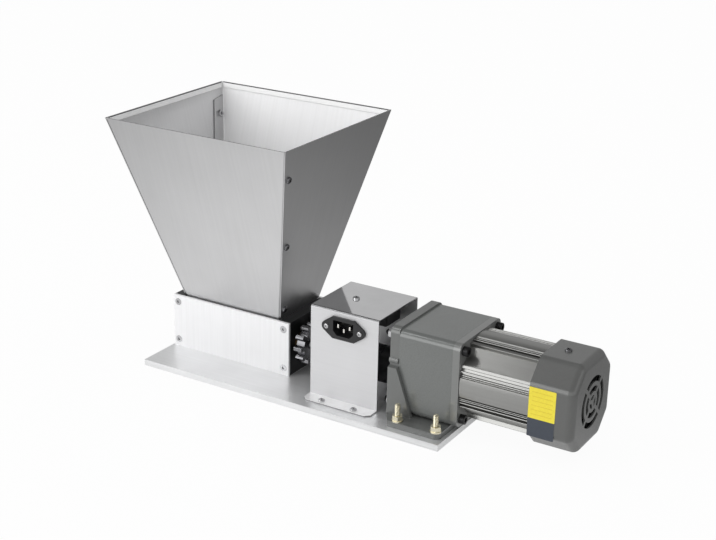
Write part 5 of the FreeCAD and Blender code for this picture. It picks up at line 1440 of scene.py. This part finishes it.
@dataclass
class Motor(SubAssembly):
    """The motor's inside, its fan and the cover over the fan.

    Attributes:
        dressings: its pieces from the stator out to the grommet, and the fan cover's screws.
        panel_x: X of the panel's two edges.
        panel_y: Y of the fan cover's flat under the panel.
        panel_rise: the panel's thickness.
        panel_corner: radius of the panel's corners.
        yellow_z: lower and upper edge of the yellow field.
        dark_z: lower and upper edge of the dark field.
        rule_rows: number of rules on the yellow field.
        rule_height: width of a rule.
        rule_rise: a rule's thickness.
        rule_margin: space beside the rules.
    """

    dressings: tuple[Dressing, ...] = (
        Trim(Finishes.CORE, 0.2 * MM, "stator_core"),
        Trim(Finishes.WINDING, 1.5 * MM, "stator_windings"),
        Trim(Finishes.CORE, 0.2 * MM, "rotor_core"),
        Trim(Finishes.SHAFT, 0.1 * MM, "motor_shaft"),
        Trim(Finishes.CASE, 0.5 * MM, "end_shield"),
        Trim(Finishes.FAN, 0.2 * MM, "fan"),
        Trim(Finishes.CAP, 0.3 * MM, "fan_cover", 38.0),
        Trim(Finishes.GROMMET, 0.4 * MM, "lead_grommet"),
        # Painted shade: the fan cover's screws get the darkened steel.
        ScrewSet(Finishes.GEAR, ScrewShape(2.0 * MM, 3.7 * MM, 2.4 * MM, 6.0 * MM, Recess.CROSS, 2.2 * MM),
                 "fan_cover_screws", UP, (0.0, 0.0, MOTOR_AXIS_Z)),
    )
    panel_x: tuple[float, float] = (266.5 * MM, 294.6 * MM)
    panel_y: float = -47.0 * MM
    panel_rise: float = 0.2 * MM
    panel_corner: float = 0.8 * MM
    yellow_z: tuple[float, float] = (49.6 * MM, 82.3 * MM)
    dark_z: tuple[float, float] = (30.2 * MM, 49.6 * MM)
    rule_rows: int = 6
    rule_height: float = 0.7 * MM
    rule_rise: float = 0.08 * MM
    rule_margin: float = 3.0 * MM

    SMOOTH_DEGREES = 30.0

    def build(self) -> None:
        """Dress the motor from the stator out to the fan cover."""
        super().build()
        self.rating_panel()

    def plate(self, name: str, x: tuple[float, float], z: tuple[float, float], back: float,
              front: float) -> bpy.types.Object:
        """A thin rectangle in the XZ plane with rounded corners.

        The outline is a rounded rectangle: each corner is a quarter circle about a point
        one corner radius in from both edges. It is carried from the back to the front.

        Args:
            name: the object's name.
            x: X of its two sides.
            z: lower and upper edge.
            back: Y of its back.
            front: Y of its front.

        Returns:
            The new object.
        """
        radius = min(self.panel_corner, (z[1] - z[0]) * 0.3)
        turn = np.linspace(0.0, QUARTER, 5)
        corners = []
        for number, (cx, cz) in enumerate(((x[1] - radius, z[1] - radius), (x[0] + radius, z[1] - radius),
                                           (x[0] + radius, z[0] + radius), (x[1] - radius, z[0] + radius))):
            angle = turn + number * QUARTER
            corners.append(np.stack([cx + radius * np.cos(angle), cz + radius * np.sin(angle)], axis=1))
        loop = np.concatenate(corners)
        rows = [Surface.loop(loop[:, 0], y, loop[:, 1]) for y in (back, front)]
        return Surface.tube(name, np.array(rows), self.SMOOTH_DEGREES)

    def rating_panel(self) -> None:
        """The two-colour panel on the fan cover, left without any words."""
        front = self.panel_y - self.panel_rise
        yellow = self.plate("panel_yellow_field", self.panel_x, self.yellow_z, self.panel_y, front)
        dark = self.plate("panel_dark_field", self.panel_x, self.dark_z, self.panel_y, front)
        rules = []
        span = (self.panel_x[0] + self.rule_margin, self.panel_x[1] - self.rule_margin)
        step = (self.yellow_z[1] - self.yellow_z[0]) / (self.rule_rows + 1)
        for row in range(self.rule_rows):
            middle = self.yellow_z[0] + step * (row + 1)
            edges = (middle - self.rule_height / 2, middle + self.rule_height / 2)
            rules.append(self.plate(f"rule_{row}", span, edges, front, front - self.rule_rise))
        joined = Surface.joined("panel_rules", rules, self.SMOOTH_DEGREES)
        for piece, finish in ((yellow, Finishes.PANEL_YELLOW), (dark, Finishes.PANEL_DARK),
                              (joined, Finishes.PANEL_RULE)):
            Dresser.paint(piece, finish)
            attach(piece, ROOT_BODY)
            log.info("%s lies on the fan cover", piece.name)


@dataclass(frozen=True)
class Lamp:
    """A square soft light that looks at a point.

    Attributes:
        name: the lamp's name.
        place: where it hangs.
        size: its side.
        watts: its power.
        target: the point that it looks at.
    """

    name: str
    place: tuple[float, float, float]
    size: float
    watts: float
    target: tuple[float, float, float] = (0.0, 0.0, 0.12)

    def build(self) -> None:
        """Hang the lamp."""
        data = bpy.data.lights.new(self.name, "AREA")
        data.size = self.size
        data.energy = self.watts
        lamp = bpy.data.objects.new(self.name, data)
        place = Vector(self.place)
        turned = (place - Vector(self.target)).to_track_quat("Z", "Y").to_matrix().to_4x4()
        lamp.matrix_world = Matrix.Translation(place) @ turned
        bpy.context.scene.collection.objects.link(lamp)


@dataclass
class Studio:
    """The pale floor, the soft lights and the camera.

    Attributes:
        eye: the camera's place.
        azimuth: degrees that the camera stands to the right of the front.
        elevation: degrees that it looks down.
        roll: degrees that it is turned about its view axis.
        focal: focal length in pixels of the photograph.
        frame_width: the photograph's width in pixels.
        clip: nearest and furthest distance that the camera sees.
        lamps: a large, low key light from the left front, a small high one for the edges
            and a weak fill.
        soft: strength of the surround's light.
        ceiling_z: part of a direction's height over which reflections darken upwards.
        ceiling_grey: the grey at the top.
        key_side: the direction that reflections are lightest in.
        key_reach: range of a direction's part towards the key light.
        key_greys: the greys at both ends of it.
        floor_half: half the floor's side.
        floor_drop: how far the floor lies under the object.
        floor_grey: the floor's grey.
        floor_roughness: the floor's roughness.
        floor_gloss: strength of the floor's highlights.
        floor_glow: share of the floor's own white in what the camera sees.
        middle: the point of the floor that reflections are lightest at.
        middle_reach: range of the distance from it.
        middle_greys: the greys at both ends of it.
        rear_reach: range of Y over which reflections darken to the rear.
        rear_grey: the factor at the rear end.
    """

    eye: tuple[float, float, float] = (0.76446, -1.20293, 0.66948)
    azimuth: float = 30.92
    elevation: float = 20.73
    roll: float = 1.25
    focal: float = 1435.43
    frame_width: float = 716.0
    clip: tuple[float, float] = (0.05, 60.0)
    lamps: tuple[Lamp, ...] = (
        Lamp("key_light", (-1.25, -2.1, 0.85), 1.9, 19.0),
        Lamp("edge_light", (-0.9, -0.7, 1.75), 0.4, 3.0, (0.15, 0.0, 0.06)),
        Lamp("right_fill", (2.2, -0.3, 0.8), 1.2, 1.5),
    )
    soft: float = 0.95
    ceiling_z: tuple[float, float] = (0.50, 0.68)
    ceiling_grey: float = 0.22
    key_side: tuple[float, float, float] = (-0.5, -0.86, 0.0)
    key_reach: tuple[float, float] = (-0.9, 0.3)
    key_greys: tuple[float, float] = (0.3, 1.0)
    floor_half: float = 6.0
    floor_drop: float = 0.02 * MM
    floor_grey: float = 0.86
    floor_roughness: float = 0.9
    floor_gloss: float = 0.1
    floor_glow: float = 0.95
    middle: tuple[float, float, float] = (-0.10, -0.14, 0.0)
    middle_reach: tuple[float, float] = (0.08, 0.75)
    middle_greys: tuple[float, float] = (1.0, 0.35)
    rear_reach: tuple[float, float] = (-0.04, 0.12)
    rear_grey: float = 0.46

    SENSOR_WIDTH = 36.0

    def camera(self) -> None:
        """Place the camera at the photograph's angle, with its roll about the view axis."""
        turn = math.radians(self.azimuth)
        rise = math.radians(self.elevation)
        roll = math.radians(self.roll)
        back = Vector((math.sin(turn) * math.cos(rise), -math.cos(turn) * math.cos(rise), math.sin(rise)))
        right = UP.cross(back).normalized()
        up = back.cross(right)
        across = right * math.cos(roll) + up * math.sin(roll)
        above = up * math.cos(roll) - right * math.sin(roll)
        data = bpy.data.cameras.new("camera")
        data.sensor_width = self.SENSOR_WIDTH
        data.lens = self.focal / self.frame_width * data.sensor_width
        data.clip_start, data.clip_end = self.clip
        camera = bpy.data.objects.new("camera", data)
        camera.matrix_world = Matrix.Translation(Vector(self.eye)) @ Matrix(
            (across, above, back)).transposed().to_4x4()
        bpy.context.scene.collection.objects.link(camera)
        bpy.context.scene.camera = camera
        log.info("camera at %s", self.eye)

    def seen_directly(self, board: NodeBoard) -> bpy.types.NodeSocket:
        """1 for camera, glossy and transmission rays, otherwise 0.

        Args:
            board: the node tree.

        Returns:
            The value.
        """
        path = board.node("LightPath", {})
        total = path.outputs["Is Camera Ray"]
        for name in ("Is Glossy Ray", "Is Transmission Ray"):
            total = board.maths("MAXIMUM", total, path.outputs[name])
        return total

    def darkened(self, board: NodeBoard, value: bpy.types.NodeSocket, reach: tuple[float, float],
                 greys: tuple[float, float], share: bpy.types.NodeSocket) -> bpy.types.NodeSocket:
        """A grey that follows a value in reflections and is white to the camera.

        Args:
            board: the node tree.
            value: what the grey follows.
            reach: the value's range.
            greys: the greys at both ends of it.
            share: a factor on the grey.

        Returns:
            The grey, or 1 for camera rays.
        """
        grey = board.maths("MULTIPLY", board.span(value, *greys, *reach), share)
        path = board.node("LightPath", {})
        return board.maths("MAXIMUM", grey, path.outputs["Is Camera Ray"])

    def world(self) -> None:
        """A white surround that lights the object softly."""
        world = bpy.data.worlds.new("studio")
        world.use_nodes = True
        board = NodeBoard(world.node_tree)
        soft = board.node("Background", {"Strength": self.soft})
        white = board.node("Background", {"Color": self.surround(board), "Strength": 1.0})
        mix = board.node("MixShader", {0: self.seen_directly(board), 1: soft.outputs[0], 2: white.outputs[0]})
        board.node("OutputWorld", {"Surface": mix.outputs[0]})
        bpy.context.scene.world = world

    def surround(self, board: NodeBoard) -> bpy.types.NodeSocket:
        """White to the camera, and for reflections a studio that darkens away from the key light.

        The grey rises with the direction's part towards the left front, and it falls to a
        dark ceiling above a height of about 35 degrees.

        Args:
            board: the world's node tree.

        Returns:
            The surround's grey.
        """
        place = board.place("Generated")
        side = board.node("VectorMath", {0: place, 1: self.key_side}, operation="DOT_PRODUCT")
        height = board.node("SeparateXYZ", {"Vector": place})
        ceiling = board.span(height.outputs["Z"], 1.0, self.ceiling_grey, *self.ceiling_z)
        return self.darkened(board, side.outputs["Value"], self.key_reach, self.key_greys, ceiling)

    def floor(self) -> None:
        """A pale floor that is nearly white to the camera and keeps a faint shadow."""
        half = self.floor_half
        points = np.array([[-half, -half, 0.0], [half, -half, 0.0], [half, half, 0.0], [-half, half, 0.0]])
        piece = Surface.mesh("studio_floor", points - [0.0, 0.0, self.floor_drop], [[0, 1, 2, 3]], 30.0)
        sheet = ShaderSheet("studio_floor")
        sheet.feed(sheet.shader, {"Base Color": (*even(self.floor_grey), 1.0),
                                  "Roughness": self.floor_roughness, "Specular IOR Level": self.floor_gloss})
        place = sheet.place("Object")
        far = sheet.node("VectorMath", {0: place, 1: self.middle}, operation="DISTANCE")
        depth = sheet.node("SeparateXYZ", {"Vector": place})
        behind = sheet.span(depth.outputs["Y"], 1.0, self.rear_grey, *self.rear_reach)
        grey = self.darkened(sheet, far.outputs["Value"], self.middle_reach, self.middle_greys, behind)
        glow = sheet.node("Emission", {"Color": grey, "Strength": 1.0})
        share = sheet.maths("MULTIPLY", self.seen_directly(sheet), self.floor_glow)
        mix = sheet.node("MixShader", {0: share, 1: sheet.shader.outputs["BSDF"], 2: glow.outputs[0]})
        sheet.feed(sheet.output, {"Surface": mix.outputs[0]})
        piece.data.materials.append(sheet.material)

    def build(self) -> None:
        """Set the whole studio."""
        bpy.context.scene.view_settings.view_transform = "Standard"
        self.camera()
        for lamp in self.lamps:
            lamp.build()
        self.world()
        self.floor()


def main() -> None:
    """Build the studio and every sub-assembly in order."""
    assemblies: Sequence[object] = (Studio(), BasePlate(), MillBody(), Hopper(), CouplingCover(), Coupling(),
                                    MotorBracket(), GearCase(), MotorBody(), Motor())
    for assembly in assemblies:
        assembly.build()
        log.info("%s is done", type(assembly).__name__)


if __name__ == "__main__":
    main()
